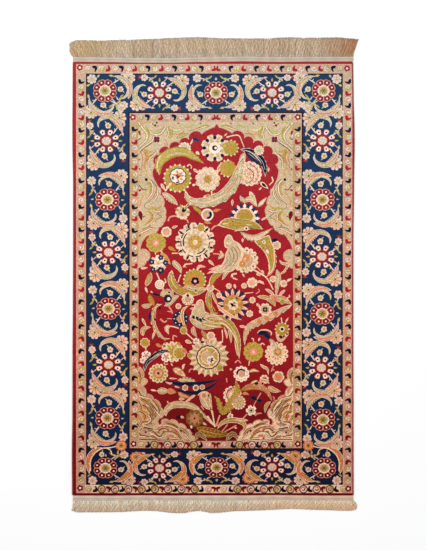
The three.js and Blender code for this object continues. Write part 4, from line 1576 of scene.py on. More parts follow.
@dataclass(frozen=True)
class Outline2D:
    """The carpet's plan: its half sizes in millimetres before the shift to the model's middle."""

    half_width: float = 492.0
    half_length: float = 758.0
    shift_x: float = -4.966
    shift_y: float = -13.015

    def end_y(self, end: int, across: np.ndarray | float, out: float = 0.0) -> np.ndarray:
        """Height up the plan of a short edge, pushed out by some way. End is 1 at the top, -1 at the bottom."""
        return end * (self.half_length + END_WANDER.at(across, 1 if end > 0 else 2) + out)

    def side_x(self, side: int, up: np.ndarray | float, half_width: float) -> np.ndarray:
        """Place across the plan of a long side at a height. Side is 1 on the right, -1 on the left."""
        return side * (half_width + SIDE_WANDER.at(self.half_length - np.asarray(up), 2 if side > 0 else 1))

    def place(self, x: np.ndarray, y: np.ndarray, z: np.ndarray | float) -> np.ndarray:
        """Points of the plan in metres, in the model's frame."""
        shape = np.broadcast(x, y, z).shape
        raised = [np.broadcast_to(a, shape) for a in (np.asarray(x) + self.shift_x, np.asarray(y) + self.shift_y, z)]
        return np.stack(raised, axis=-1) * 0.001


PLAN = Outline2D()


@dataclass(frozen=True)
class ChartScale:
    """How the chart's units lie on the carpet."""

    unit: float = 3.5
    middle: complex = 213.1 + 278.65j

    def to_plan(self, points: np.ndarray) -> np.ndarray:
        """Chart places, as complex numbers, to millimetres across and up the plan."""
        moved = (points - self.middle) * self.unit
        return np.stack([moved.real, -moved.imag], axis=-1)

    def to_chart(self, across: np.ndarray, up: np.ndarray) -> np.ndarray:
        """Plan places to the chart's complex numbers."""
        return self.middle + (np.asarray(across) - 1j * np.asarray(up)) / self.unit


SCALE = ChartScale()


SIDE_TRIM = 4.5  # millimetres of each half width that the side cord takes
RIM_REACH = (12, 10)  # millimetres in from the sides and from the ends that hold all of the pile's rounded edge
RIM_BATCH = 2000  # places measured against the edge at a time
STRAIGHT = 0.09  # sine of a bend under which two seams in a row become one


def pile_edge(inset: float, steps_long: int = 110, steps_short: int = 60) -> np.ndarray:
    """The pile's edge as a closed run of plan places, drawn in by an inset in millimetres."""
    half = PLAN.half_width - SIDE_TRIM - inset
    up = np.linspace(-PLAN.half_length + inset, PLAN.half_length - inset, steps_long + 1)[1:-1]
    across = np.linspace(-half, half, steps_short + 1)
    bottom = np.stack([across, PLAN.end_y(-1, across, -inset)], -1)
    top = np.stack([across, PLAN.end_y(1, across, -inset)], -1)
    for edge, end in ((bottom, -1), (top, 1)):
        for corner, side in ((0, -1), (-1, 1)):
            edge[corner, 0] = PLAN.side_x(side, end * PLAN.half_length, half)
    right = np.stack([PLAN.side_x(1, up, half), up], -1)
    left = np.stack([PLAN.side_x(-1, up, half), up], -1)
    return np.concatenate([bottom, right, top[::-1], left[::-1]])


def wound_inside(spots: np.ndarray, outline: np.ndarray) -> np.ndarray:
    """Which of several chart places lie inside an outline, by its winding round them."""
    following = np.roll(outline, -1)
    turns = np.zeros(len(spots), np.int32)
    for a, b in zip(outline, following):
        upward = (a.imag <= spots.imag) & (b.imag > spots.imag)
        downward = (a.imag > spots.imag) & (b.imag <= spots.imag)
        if not (upward.any() or downward.any()):
            continue
        cross = (b.real - a.real) * (spots.imag - a.imag) - (spots.real - a.real) * (b.imag - a.imag)
        turns += (upward & (cross > 0)).astype(np.int32) - (downward & (cross < 0)).astype(np.int32)
    return turns != 0


def net_between(
    runs: Sequence[np.ndarray], edges: np.ndarray | None, rims: Sequence[np.ndarray]
) -> tuple[np.ndarray, np.ndarray]:
    """The triangles between outlines, inside the carpet's rim.

    Args:
        runs: closed outlines; or one run of places, when edges are given.
        edges: pairs of numbers into the run of places, or none for closed outlines.
        rims: loops that are cut in too, the outermost first.

    Returns:
        The places and the triangles, from the top of the chart down.
    """
    closed = [*([] if edges is not None else runs), *rims]
    start = 0 if edges is None else len(runs[0])
    ends = start + np.cumsum([0] + [len(run) for run in closed])
    number = np.arange(start, ends[-1])
    after = number + 1
    after[ends[1:] - 1 - start] = ends[:-1]
    pairs = np.stack([number, after], -1)
    if edges is not None:
        pairs, closed = np.concatenate([edges, pairs]), [*runs, *closed]
    corners = [Vector((float(p.real), float(p.imag))) for p in np.concatenate(closed)]
    made = delaunay_2d_cdt(corners, pairs.tolist(), [], 0, 1e-3, False)
    spots, triangles = np.array([complex(*v) for v in made[0]]), np.array(made[2], np.int32)
    triangles = triangles[wound_inside(spots[triangles].mean(axis=1), rims[0])]
    return spots, triangles[np.argsort(spots[triangles].mean(axis=1).imag, kind="stable")]


def paint(spots: np.ndarray, triangles: np.ndarray, shapes: Sequence[tuple[Outline, Yarn]]) -> np.ndarray:
    """The yarn's number for each triangle: that of the last shape laid over its middle."""
    middles = spots[triangles].mean(axis=1)
    yarns = np.zeros(len(triangles), np.int32)
    codes = {yarn: code for code, yarn in enumerate(Yarn)}
    for outline, yarn in shapes:
        run = np.array(outline)
        first, last = np.searchsorted(middles.imag, [run.imag.min(), run.imag.max()])
        near = middles[first:last]
        within = np.flatnonzero((near.real > run.real.min()) & (near.real < run.real.max()))
        if len(within):
            yarns[first + within[wound_inside(near[within], run)]] = codes[yarn]
    return yarns


def seams(spots: np.ndarray, triangles: np.ndarray, yarns: np.ndarray) -> np.ndarray:
    """The edges where two yarns meet, each straight run of them as one edge."""
    sides = np.sort(np.concatenate([triangles[:, [0, 1]], triangles[:, [1, 2]], triangles[:, [2, 0]]]), axis=1)
    owner = np.tile(yarns, 3)
    order = np.lexsort((sides[:, 1], sides[:, 0]))
    sides, owner = sides[order], owner[order]
    shared = (sides[1:] == sides[:-1]).all(axis=1) & (owner[1:] != owner[:-1])
    beside: dict[int, set[int]] = {}
    for a, b in sides[:-1][shared].tolist():
        beside.setdefault(a, set()).add(b)
        beside.setdefault(b, set()).add(a)
    for spot in list(beside):
        if len(beside[spot]) != 2:
            continue
        a, b = beside[spot]
        back, on = complex(spots[a] - spots[spot]), complex(spots[b] - spots[spot])
        bend = back.conjugate() * on
        if bend.real < 0 and abs(bend.imag) < STRAIGHT * abs(bend) and b not in beside[a]:
            for end, other in ((a, b), (b, a)):
                beside[end].discard(spot)
                beside[end].add(other)
            del beside[spot]
    return np.array([(a, b) for a, near in beside.items() for b in near if a < b])


@dataclass
class Mosaic:
    """A flat net of triangles in which every triangle has one yarn, cut along the seams between the yarns."""

    places: np.ndarray
    triangles: np.ndarray
    yarns: np.ndarray

    @classmethod
    def of(cls, shapes: Sequence[tuple[Outline, Yarn]], rims: Sequence[float]) -> Mosaic:
        """Cuts the net: first along every outline, then again along the seams that show.

        Args:
            shapes: outlines and their yarns, each laid over the ones before.
            rims: insets of the loops that round the pile's edge off, the outermost first, in millimetres.

        Returns:
            The net, with its places in millimetres on the plan.
        """
        loops = [SCALE.to_chart(*pile_edge(inset).T) for inset in rims]
        spots, triangles = net_between([np.array(outline) for outline, _ in shapes], None, loops)
        edges = seams(spots, triangles, paint(spots, triangles, shapes))
        used, edges = np.unique(edges, return_inverse=True)
        spots, triangles = net_between([spots[used]], edges.reshape(-1, 2), loops)
        yarns = paint(spots, triangles, shapes)
        used, triangles = np.unique(triangles, return_inverse=True)
        return cls(SCALE.to_plan(spots[used]), triangles.reshape(-1, 3), yarns)

    def facing_up(self) -> np.ndarray:
        """The triangles, each in the order that faces up."""
        a, b, c = (self.places[self.triangles[:, corner]] for corner in range(3))
        area = (b[:, 0] - a[:, 0]) * (c[:, 1] - a[:, 1]) - (b[:, 1] - a[:, 1]) * (c[:, 0] - a[:, 0])
        return np.where((area > 0)[:, None], self.triangles, self.triangles[:, ::-1])

    def rim_depth(self, reach: float) -> np.ndarray:
        """How far each place lies inside the pile's edge, in millimetres, up to a reach."""
        edge = pile_edge(0.0)
        depth = np.full(len(self.places), reach)
        x, y = self.places.T
        from_side, from_end = RIM_REACH
        near = np.flatnonzero((np.abs(x) > PLAN.half_width - from_side) | (np.abs(y) > PLAN.half_length - from_end))
        start, end = edge, np.roll(edge, -1, axis=0)
        for first in range(0, len(near), RIM_BATCH):
            part = near[first : first + RIM_BATCH]
            spots = self.places[part][:, None, :]
            run = (end - start)[None]
            share = np.clip(((spots - start) * run).sum(-1) / (run * run).sum(-1), 0, 1)
            gap = np.linalg.norm(start + share[..., None] * run - spots, axis=-1).min(axis=1)
            depth[part] = np.minimum(gap, reach)
        return depth


class Wiring:
    """Adds nodes to one tree and joins them up."""

    def __init__(self, tree: bpy.types.NodeTree) -> None:
        """Takes the tree that the nodes go into."""
        self.tree = tree

    def add(self, kind: str, *feeds: object, **settings: object) -> bpy.types.Node:
        """Adds a node.

        Args:
            kind: the node's type.
            feeds: what goes into each input in order: a socket to link, a value to set, or None to leave.
            settings: the node's own properties.

        Returns:
            The new node.
        """
        node = self.tree.nodes.new(kind)
        for name, value in settings.items():
            setattr(node, name, value)
        for socket, feed in zip(node.inputs, feeds):
            self.feed(socket, feed)
        return node

    def feed(self, socket: bpy.types.NodeSocket, feed: object) -> None:
        """Links or sets one input."""
        if isinstance(feed, bpy.types.NodeSocket):
            self.tree.links.new(feed, socket)
        elif feed is not None:
            socket.default_value = feed

    def math(self, operation: str, *feeds: object) -> bpy.types.NodeSocket:
        """A sum on numbers; returns its result."""
        return self.add("ShaderNodeMath", *feeds, operation=operation).outputs[0]

    def vector(self, operation: str, *feeds: object) -> bpy.types.NodeSocket:
        """A sum on vectors or colours; returns its result."""
        return self.add("ShaderNodeVectorMath", *feeds, operation=operation).outputs[0]

    def scale(self, colour: object, factor: object) -> bpy.types.NodeSocket:
        """A vector or colour times a number; returns its result."""
        return self.vector("SCALE", colour, None, None, factor)

    def swing(self, noise: object, spread: object) -> bpy.types.NodeSocket:
        """How far a noise lies from its middle of a half, times a spread; returns its result."""
        return self.math("MULTIPLY", self.math("SUBTRACT", noise, 0.5), spread)

    def use(self, tree: bpy.types.NodeTree, **feeds: object) -> bpy.types.Node:
        """Adds an effect's group, fed by the names of its inputs; returns its node."""
        node = self.add("ShaderNodeGroup", node_tree=tree)
        for name, feed in feeds.items():
            self.feed(node.inputs[name], feed)
        return node

    def mix(self, blend: str, share: object, first: object, second: object) -> bpy.types.NodeSocket:
        """A mix of two colours; returns its result."""
        node = self.add("ShaderNodeMix", data_type="RGBA", blend_type=blend)
        for place, feed in ((0, share), (6, first), (7, second)):
            self.feed(node.inputs[place], feed)
        return node.outputs[2]

    def ramp(self, value: object, stops: Sequence[tuple[float, tuple[float, float, float]]]) -> bpy.types.NodeSocket:
        """A colour ramp over a value from 0 to 1; returns its colour."""
        node = self.add("ShaderNodeValToRGB", value)
        band = node.color_ramp
        while len(band.elements) < len(stops):
            band.elements.new(0.5)
        for element, (place, colour) in zip(band.elements, stops):
            element.position = place
            element.color = (*colour, 1.0)
        return node.outputs[0]


VECTOR, NUMBER, COLOUR = "NodeSocketVector", "NodeSocketFloat", "NodeSocketColor"


def effect_group(
    name: str, inputs: Sequence[tuple[str, str, object]], outputs: Sequence[tuple[str, str]]
) -> tuple[bpy.types.NodeTree, Wiring, bpy.types.Node, bpy.types.Node]:
    """Starts a shader node group with named sockets.

    Args:
        name: the group's name.
        inputs: name, socket type and default of each input.
        outputs: name and socket type of each output.

    Returns:
        The group, its wiring, and its input and output nodes.
    """
    group = bpy.data.node_groups.new(name, "ShaderNodeTree")
    for label, kind, default in inputs:
        socket = group.interface.new_socket(label, in_out="INPUT", socket_type=kind)
        if default is not None:
            socket.default_value = default
    for label, kind in outputs:
        group.interface.new_socket(label, in_out="OUTPUT", socket_type=kind)
    wiring = Wiring(group)
    return group, wiring, wiring.add("NodeGroupInput"), wiring.add("NodeGroupOutput")


FOOT_SHADE_GAMMA = 1.32  # painted shade: darkens the yarns at the foot
# Painted shade and light along the length: what red, green and blue are multiplied by, from the foot (0) to the top
# (1).
LENGTHWISE_SHADE_STOPS = (
    (0.0, (0.98, 0.76, 0.83)),
    (0.07, (1.0, 0.79, 0.84)),
    (0.27, (1.12, 0.86, 0.86)),
    (0.55, (1.13, 0.955, 0.99)),
    (0.85, (1.0, 0.96, 1.0)),
    (1.0, (0.97, 0.97, 1.03)),
)
# Painted shade in the crimson: the share of its brightness taken away, from the foot (0) up.
CRIMSON_SHADE_STOPS = ((0.0, (0.65,) * 3), (0.17, (0.6,) * 3), (0.3, (0.26,) * 3), (0.55, (0.08,) * 3))
MOTTLE_HUES = (1.0, 1.1, 1.3)
BANDS_EACH_METRE = (1.2, 26.0)  # how often the dyes' bands change, across and up
WEAR = 0.06  # how much smoother or rougher than its finish the pile is in worn and fresh patches


def knot_group() -> bpy.types.NodeTree:
    """Rows of knots: each knot a little lighter or darker than its neighbours, and raised in its middle."""
    group, w, enter, leave = effect_group(
        "KnotRows",
        [("Vector", VECTOR, None), ("Across", NUMBER, 900.0), ("Up", NUMBER, 900.0), ("Spread", NUMBER, 0.12)],
        [("Tint", NUMBER), ("Height", NUMBER)],
    )
    split = w.add("ShaderNodeSeparateXYZ", enter.outputs["Vector"])
    columns = w.math("MULTIPLY", split.outputs[0], enter.outputs["Across"])
    rows = w.math("MULTIPLY", split.outputs[1], enter.outputs["Up"])
    cell = w.add("ShaderNodeCombineXYZ", w.math("FLOOR", columns), w.math("FLOOR", rows), 0.0)
    noise = w.add("ShaderNodeTexWhiteNoise", cell.outputs[0], noise_dimensions="3D")
    spread = w.swing(noise.outputs[0], enter.outputs["Spread"])
    w.feed(leave.inputs["Tint"], w.math("ADD", spread, 1.0))
    bumps = [w.math("ABSOLUTE", w.math("SINE", w.math("MULTIPLY", line, math.pi))) for line in (columns, rows)]
    raised = w.math("MULTIPLY", w.math("POWER", bumps[0], 0.7), w.math("POWER", bumps[1], 0.7))
    w.feed(leave.inputs["Height"], w.math("ADD", raised, w.math("MULTIPLY", spread, 2.0)))
    return group


def abrash_and_shade_group() -> bpy.types.NodeTree:
    """Painted shade and light over the carpet's length, warmer and darker towards the foot and most in the crimson,
    with the dyes' own soft bands and patches.
    """
    group, w, enter, leave = effect_group(
        "AbrashAndShade",
        [("Vector", VECTOR, None), ("Yarn", COLOUR, None), ("Depth", NUMBER, 1.0)],
        [("Colour", COLOUR), ("Wear", NUMBER)],
    )
    split = w.add("ShaderNodeSeparateXYZ", enter.outputs["Vector"])
    height = w.add("ShaderNodeMapRange", split.outputs[1], -0.77, 0.745, 0.0, 1.0).outputs[0]
    # painted shade and light along the length, and painted shade of every yarn towards the foot
    drift = w.ramp(height, LENGTHWISE_SHADE_STOPS)
    shade_gamma = w.add("ShaderNodeMapRange", split.outputs[1], -0.77, 0.52, FOOT_SHADE_GAMMA, 1.0).outputs[0]
    across, up = (w.math("MULTIPLY", side, often) for side, often in zip(split.outputs, BANDS_EACH_METRE))
    flat = w.add("ShaderNodeCombineXYZ", across, up, 0.0).outputs[0]
    bands = w.add("ShaderNodeTexNoise", flat, None, 1.0, 3.0, 0.55)
    patches = w.add("ShaderNodeTexNoise", enter.outputs["Vector"], None, 9.0, 4.0, 0.6)
    streak, patch = w.swing(bands.outputs[0], 0.3), w.swing(patches.outputs[0], 0.4)
    parts = w.add("ShaderNodeSeparateColor", enter.outputs["Yarn"])
    green, red = w.math("MULTIPLY", parts.outputs[1], 3.0), w.math("MAXIMUM", parts.outputs[0], 0.02)
    green_share = w.math("DIVIDE", green, red)
    redness = w.add("ShaderNodeMath", 1.0, green_share, operation="SUBTRACT", use_clamp=True).outputs[0]
    # painted shade: the crimson darkens most towards the foot
    fall = w.ramp(height, CRIMSON_SHADE_STOPS)
    value = w.math("ADD", w.math("ADD", streak, patch), w.math("SUBTRACT", 1.0, w.math("MULTIPLY", redness, fall)))
    shaded = w.scale(drift, value)
    with_painted_shade = w.mix("MULTIPLY", 1.0, w.add("ShaderNodeGamma", enter.outputs["Yarn"], shade_gamma).outputs[0], shaded)
    w.feed(leave.inputs["Colour"], w.mix("MIX", enter.outputs["Depth"], enter.outputs["Yarn"], with_painted_shade))
    w.feed(leave.inputs["Wear"], patches.outputs[0])
    return group


def mottle_group() -> bpy.types.NodeTree:
    """The silk's own unevenness from tuft to tuft: small clouds of lighter, darker, pinker and greener tone."""
    group, w, enter, leave = effect_group(
        "Mottle",
        [("Vector", VECTOR, None), ("Size", NUMBER, 170.0), ("Strength", NUMBER, 1.0)],
        [("Tint", COLOUR)],
    )
    clouds = w.add("ShaderNodeTexNoise", enter.outputs["Vector"], None, enter.outputs["Size"], 2.0, 0.6)
    finer = w.math("MULTIPLY", enter.outputs["Size"], 2.3)
    fine = w.add("ShaderNodeTexNoise", enter.outputs["Vector"], None, finer, 1.0, 0.5)
    hue = w.vector("MULTIPLY", w.vector("SUBTRACT", clouds.outputs["Color"], (0.5, 0.5, 0.5)), MOTTLE_HUES)
    light = w.swing(fine.outputs[0], 1.5)
    both = w.vector("ADD", hue, w.add("ShaderNodeCombineXYZ", light, light, light).outputs[0])
    w.feed(leave.inputs["Tint"], w.vector("ADD", w.scale(both, enter.outputs["Strength"]), (1.0, 1.0, 1.0)))
    return group


def thread_group() -> bpy.types.NodeTree:
    """Fine threads along one direction: streaks of tone and small furrows."""
    group, w, enter, leave = effect_group(
        "Threads",
        [("Vector", VECTOR, None), ("Along", VECTOR, (60.0, 1400.0, 60.0)), ("Spread", NUMBER, 0.3)],
        [("Tint", NUMBER), ("Height", NUMBER)],
    )
    stretched = w.vector("MULTIPLY", enter.outputs["Vector"], enter.outputs["Along"])
    noise = w.add("ShaderNodeTexNoise", stretched, None, 1.0, 3.0, 0.6)
    w.feed(leave.inputs["Tint"], w.math("ADD", w.swing(noise.outputs[0], enter.outputs["Spread"]), 1.0))
    w.feed(leave.inputs["Height"], noise.outputs[0])
    return group


@dataclass
class Effects:
    """The effects that the finishes share, each as a node group."""

    knots: bpy.types.NodeTree = field(default_factory=knot_group)
    abrash_and_shade: bpy.types.NodeTree = field(default_factory=abrash_and_shade_group)
    mottle: bpy.types.NodeTree = field(default_factory=mottle_group)
    threads: bpy.types.NodeTree = field(default_factory=thread_group)


@dataclass(frozen=True)
class Finish:
    """The steady values of one silk finish."""

    name: str
    roughness: float
    sheen: float
    sheen_roughness: float = 0.4
    specular: float = 0.3
    bump: float = 0.3
    bump_depth: float = 0.0004

    def start(self) -> tuple[bpy.types.Material, Wiring, bpy.types.Node]:
        """Makes the material with its shader set to the steady values.

        Returns:
            The material, its wiring and its shader node.
        """
        material = bpy.data.materials.new(self.name)
        material.use_nodes = True
        wiring = Wiring(material.node_tree)
        shader = material.node_tree.nodes["Principled BSDF"]
        shader.inputs["Roughness"].default_value = self.roughness
        shader.inputs["Sheen Weight"].default_value = self.sheen
        shader.inputs["Sheen Roughness"].default_value = self.sheen_roughness
        shader.inputs["Specular IOR Level"].default_value = self.specular
        return material, wiring, shader

    def raise_by(self, wiring: Wiring, shader: bpy.types.Node, height: bpy.types.NodeSocket) -> None:
        """Feeds a height into the shader's normal through a bump."""
        bump = wiring.add("ShaderNodeBump")
        bump.inputs["Strength"].default_value = self.bump
        bump.inputs["Distance"].default_value = self.bump_depth
        wiring.feed(bump.inputs["Height"], height)
        wiring.feed(shader.inputs["Normal"], bump.outputs[0])


@dataclass(frozen=True)
class KnottedFinish(Finish):
    """Knotted silk in the design's yarns, on the face or the back of the carpet."""

    spread: float = 0.2
    # how much of the painted shade and the dyes' bands the finish takes
    abrash_and_shade_depth: float = 1.0
    mottling: float = 1.0
    knots: float = 800.0

    def make(self, effects: Effects) -> bpy.types.Material:
        """Builds the material from the yarn colours on the mesh."""
        material, w, shader = self.start()
        where = w.add("ShaderNodeTexCoord").outputs["Object"]
        yarn = w.add("ShaderNodeAttribute", attribute_name="yarn").outputs["Color"]
        rows = w.use(effects.knots, Vector=where, Across=self.knots, Up=self.knots, Spread=self.spread)
        # painted shade and light along the length, with the dyes' own bands
        drift = w.use(effects.abrash_and_shade, Vector=where, Yarn=yarn, Depth=self.abrash_and_shade_depth)
        clouds = w.use(effects.mottle, Vector=where, Strength=self.mottling)
        speckled = w.scale(drift.outputs["Colour"], rows.outputs["Tint"])
        w.feed(shader.inputs["Base Color"], w.mix("MULTIPLY", 1.0, speckled, clouds.outputs["Tint"]))
        smooth, rough = self.roughness - WEAR, self.roughness + WEAR
        worn = w.add("ShaderNodeMapRange", drift.outputs["Wear"], 0.3, 0.7, smooth, rough)
        w.feed(shader.inputs["Roughness"], worn.outputs[0])
        self.raise_by(w, shader, rows.outputs["Height"])
        return material


@dataclass(frozen=True)
class ThreadFinish(Finish):
    """Plain thread, coloured on the mesh by the strand."""

    along: tuple[float, float, float] = (900.0, 60.0, 200.0)
    spread: float = 0.4
    mottling: float = 0.0

    def make(self, effects: Effects) -> bpy.types.Material:
        """Builds the material from the thread colours on the mesh."""
        material, w, shader = self.start()
        where = w.add("ShaderNodeTexCoord").outputs["Object"]
        yarn = w.add("ShaderNodeAttribute", attribute_name="yarn").outputs["Color"]
        streaks = w.use(effects.threads, Vector=where, Along=self.along, Spread=self.spread)
        tinted = w.scale(yarn, streaks.outputs["Tint"])
        clouds = w.use(effects.mottle, Vector=where, Strength=self.mottling)
        w.feed(shader.inputs["Base Color"], w.mix("MULTIPLY", 1.0, tinted, clouds.outputs["Tint"]))
        self.raise_by(w, shader, streaks.outputs["Height"])
        return material


SIDE_NAMES = {1: "right", -1: "left"}
END_NAMES = {1: "top", -1: "bottom"}


def piece_from(
    name: str, mesh: bpy.types.Mesh, material: bpy.types.Material, slot: str, *nodes: str
) -> bpy.types.Object:
    """Makes a mesh a finished piece of the carpet.

    Args:
        name: the piece's name.
        mesh: its mesh, in the model's frame.
        material: its finish.
        slot: the record's material slot; not used.
        nodes: the model's nodes that it stands for.

    Returns:
        The piece, riding on the root body.
    """
    mesh.materials.append(material)
    mesh.shade_smooth()
    piece = bpy.data.objects.new(name, mesh)
    bpy.context.scene.collection.objects.link(piece)
    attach(piece, "root")
    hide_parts(*nodes)
    LOG.info("%s: %d faces", name, len(mesh.polygons))
    return piece


def colour_corners(mesh: bpy.types.Mesh, colours: np.ndarray) -> None:
    """Writes the yarn colours, one row of red, green and blue for each face corner."""
    layer = mesh.color_attributes.new("yarn", "FLOAT_COLOR", "CORNER")
    rgba = np.ones((len(mesh.loops), 4), np.float32)
    rgba[:, :3] = colours
    layer.data.foreach_set("color", rgba.ravel())


def read(items: bpy.types.bpy_prop_collection, name: str, kind: type, width: int = 1) -> np.ndarray:
    """Reads one property of each of a mesh's items.

    Args:
        items: the mesh's vertices, faces or face corners.
        name: the property.
        kind: the type of its values.
        width: how many values it has.

    Returns:
        The values, in a row for each item where it has several.
    """
    found = np.empty(len(items) * width, kind)
    items.foreach_get(name, found)
    return found.reshape(-1, width) if width > 1 else found


def corner_vertices(mesh: bpy.types.Mesh) -> np.ndarray:
    """The vertex of every face corner."""
    return read(mesh.loops, "vertex_index", np.int32)


def corner_places(mesh: bpy.types.Mesh) -> np.ndarray:
    """The place of every face corner."""
    return read(mesh.vertices, "co", np.float32, 3)[corner_vertices(mesh)]


def corner_faces(mesh: bpy.types.Mesh) -> np.ndarray:
    """The face of every face corner."""
    totals = read(mesh.polygons, "loop_total", np.int32)
    return np.repeat(np.arange(len(totals)), totals)


def lay_on_sheet(mesh: bpy.types.Mesh, uv: np.ndarray) -> None:
    """Gives the face corners their places on the bake sheet."""
    mesh.uv_layers.new(name="OFBake").data.foreach_set("uv", uv.astype(np.float32).ravel())


def mesh_of(bm: bmesh.types.BMesh, name: str) -> bpy.types.Mesh:
    """Turns what was built into a mesh.

    Args:
        bm: what was built, which can't be used afterwards.
        name: the mesh's name.

    Returns:
        The new mesh.
    """
    mesh = bpy.data.meshes.new(name)
    bm.to_mesh(mesh)
    bm.free()
    return mesh


def grid_of(across: int, along: int) -> tuple[bmesh.types.BMesh, np.ndarray]:
    """Starts a flat grid that reaches from -1 to 1 both ways.

    Args:
        across: how many cells it has across.
        along: how many it has along.

    Returns:
        The grid and its vertices' places.
    """
    bm = bmesh.new()
    bmesh.ops.create_grid(bm, x_segments=across, y_segments=along, size=1.0)
    return bm, np.array([vertex.co[:2] for vertex in bm.verts])


def move_to(bm: bmesh.types.BMesh, places_of: np.ndarray) -> None:
    """Moves every vertex to its new place."""
    for vertex, place in zip(bm.verts, places_of):
        vertex.co = place


def close_towards(bm: bmesh.types.BMesh, height: float) -> None:
    """Closes an open net: walls from its edge to a height in metres, and a plain face there."""
    rim = [edge for edge in bm.edges if edge.is_boundary]
    grown = bmesh.ops.extrude_edge_only(bm, edges=rim)["geom"]
    for vertex in grown:
        if isinstance(vertex, bmesh.types.BMVert):
            vertex.co.z = height
    bmesh.ops.triangle_fill(bm, use_beauty=True, edges=[edge for edge in bm.edges if edge.is_boundary])


@dataclass
class KnottedLayer:
    """One layer of the knotted body: a patterned face with rounded edges, walls, and a plain inner face."""

    name: str
    face_height: float
    inner_height: float
    edge_radius: float
    ripple: float = 0.0

    def build(self, mosaic: Mosaic, material: bpy.types.Material) -> bpy.types.Object:
        """Builds the layer from the mosaic, patterned on its outer side."""
        upward = self.face_height > self.inner_height
        depth = mosaic.rim_depth(self.edge_radius)
        sunk = self.edge_radius - np.sqrt(np.maximum(self.edge_radius**2 - (self.edge_radius - depth) ** 2, 0))
        x, y = mosaic.places.T
        wave = self.ripple * (np.sin(x / 41 + np.sin(y / 67)) * np.sin(y / 53 + 1.3) + np.sin(x / 17 + y / 29))
        inside = np.clip(depth / self.edge_radius, 0, 1)
        z = self.face_height - (sunk if upward else -sunk) - self.ripple * 2 * inside + wave * inside
        triangles = mosaic.facing_up()
        if not upward:
            triangles = triangles[:, ::-1]
        mesh = bpy.data.meshes.new(self.name)
        mesh.from_pydata(PLAN.place(x, y, z).tolist(), [], triangles.tolist())
        bm = bmesh.new()
        bm.from_mesh(mesh)
        close_towards(bm, self.inner_height * 0.001)
        if sum(face.calc_area() * face.normal.z for face in bm.faces[: len(triangles)]) * (1 if upward else -1) < 0:
            bmesh.ops.reverse_faces(bm, faces=bm.faces)
        bm.to_mesh(mesh)
        bm.free()
        self.dress(mesh, mosaic.yarns)
        return piece_from(self.name, mesh, material, "pile_silk", "pile_carpet")

    def dress(self, mesh: bpy.types.Mesh, yarns: np.ndarray) -> None:
        """Gives the patterned face its yarns, the rest the edge's red, and all of it a place on one sheet."""
        palette = np.array([yarn.colour for yarn in Yarn], np.float32)
        codes = np.zeros(len(mesh.polygons), np.int32)
        codes[: len(yarns)] = yarns
        faces, spots, normals = corner_faces(mesh), corner_places(mesh), read(mesh.polygons, "normal", np.float32, 3)
        colour_corners(mesh, palette[codes[faces]])
        low, high = spots.min(axis=0), spots.max(axis=0)
        share = (spots - low) / np.maximum(high - low, 1e-6)
        patterned = faces < len(yarns)
        uv = share[:, :2] * (0.94, 0.98) + 0.01
        wall = ~patterned & (np.abs(normals[faces, 2]) < 0.5)
        floor = ~patterned & ~wall
        endwise = np.abs(normals[faces, 1]) > 0.5
        strip = 0.958 + 0.004 * (2 * endwise + (normals[faces, :2].sum(axis=1) > 0))
        uv[wall, 0] = (strip + 0.003 * share[:, 2])[wall]
        uv[wall, 1] = np.where(endwise, share[:, 0], share[:, 1])[wall]
        uv[floor] = (share[:, :2] * (0.015, 0.98) + (0.98, 0.01))[floor]
        lay_on_sheet(mesh, uv)


@dataclass
class SideCord:
    """The overcast cord along one long side: a rope wound with thread, so that it has slanting ridges."""

    side: int
    radius: float = 2.02
    ridge: float = 0.16
    pitch: float = 1.9
    sides: int = 10
    steps: int = 1900
    short: float = 0.4

    def build(self, material: bpy.types.Material) -> bpy.types.Object:
        """Rolls a grid up into the cord, closes its ends and paints shade and light along its winding."""
        bm, grid = grid_of(self.sides, self.steps)
        turn, along = (grid[:, 0] + 1) * math.pi, (grid[:, 1] + 1) / 2
        half_length = PLAN.half_length - self.short
        up = (along * 2 - 1) * half_length
        slant = up + self.pitch * 0.9 * np.cos(turn) * 0.5
        winding = np.cos(2 * math.pi * slant / self.pitch)
        uneven = 0.05 * np.sin(up * 0.31) + 0.04 * np.sin(up * 0.117 + self.side)
        reach = self.radius + self.ridge * 0.5 * winding - 0.1 + uneven
        middle = PLAN.side_x(self.side, up, PLAN.half_width - 2.1)
        end = np.clip((half_length - np.abs(up)) / 1.6, 0.0, 1.0)
        reach = reach * (0.55 + 0.45 * np.sqrt(end))
        move_to(bm, PLAN.place(middle + reach * np.cos(turn), up, 2.14 + reach * np.sin(turn) * self.side))
        bmesh.ops.remove_doubles(bm, verts=bm.verts, dist=1e-6)
        bmesh.ops.holes_fill(bm, edges=[edge for edge in bm.edges if edge.is_boundary], sides=0)
        bmesh.ops.recalc_face_normals(bm, faces=bm.faces)
        name = SIDE_NAMES[self.side]
        mesh = mesh_of(bm, f"overcast_{name}")
        spots = corner_places(mesh)
        # painted shade and light at the winding's pitch, darker between the turns of thread, with a slower change of
        # tone along the cord
        shade = 0.9 + 0.16 * np.sin(spots[:, 1] * 1000 * 2 * math.pi / self.pitch) + 0.08 * np.sin(spots[:, 1] * 260)
        colour_corners(mesh, np.array(Yarn.CRIMSON.colour) * shade[:, None] * CORD_TINT)
        return piece_from(f"overcast_{name}", mesh, material, "side_silk", f"side_cord_{name}")


# What the crimson's red, green and blue are multiplied by on the cords.
CORD_TINT = np.array([0.8, 1.3, 1.1])


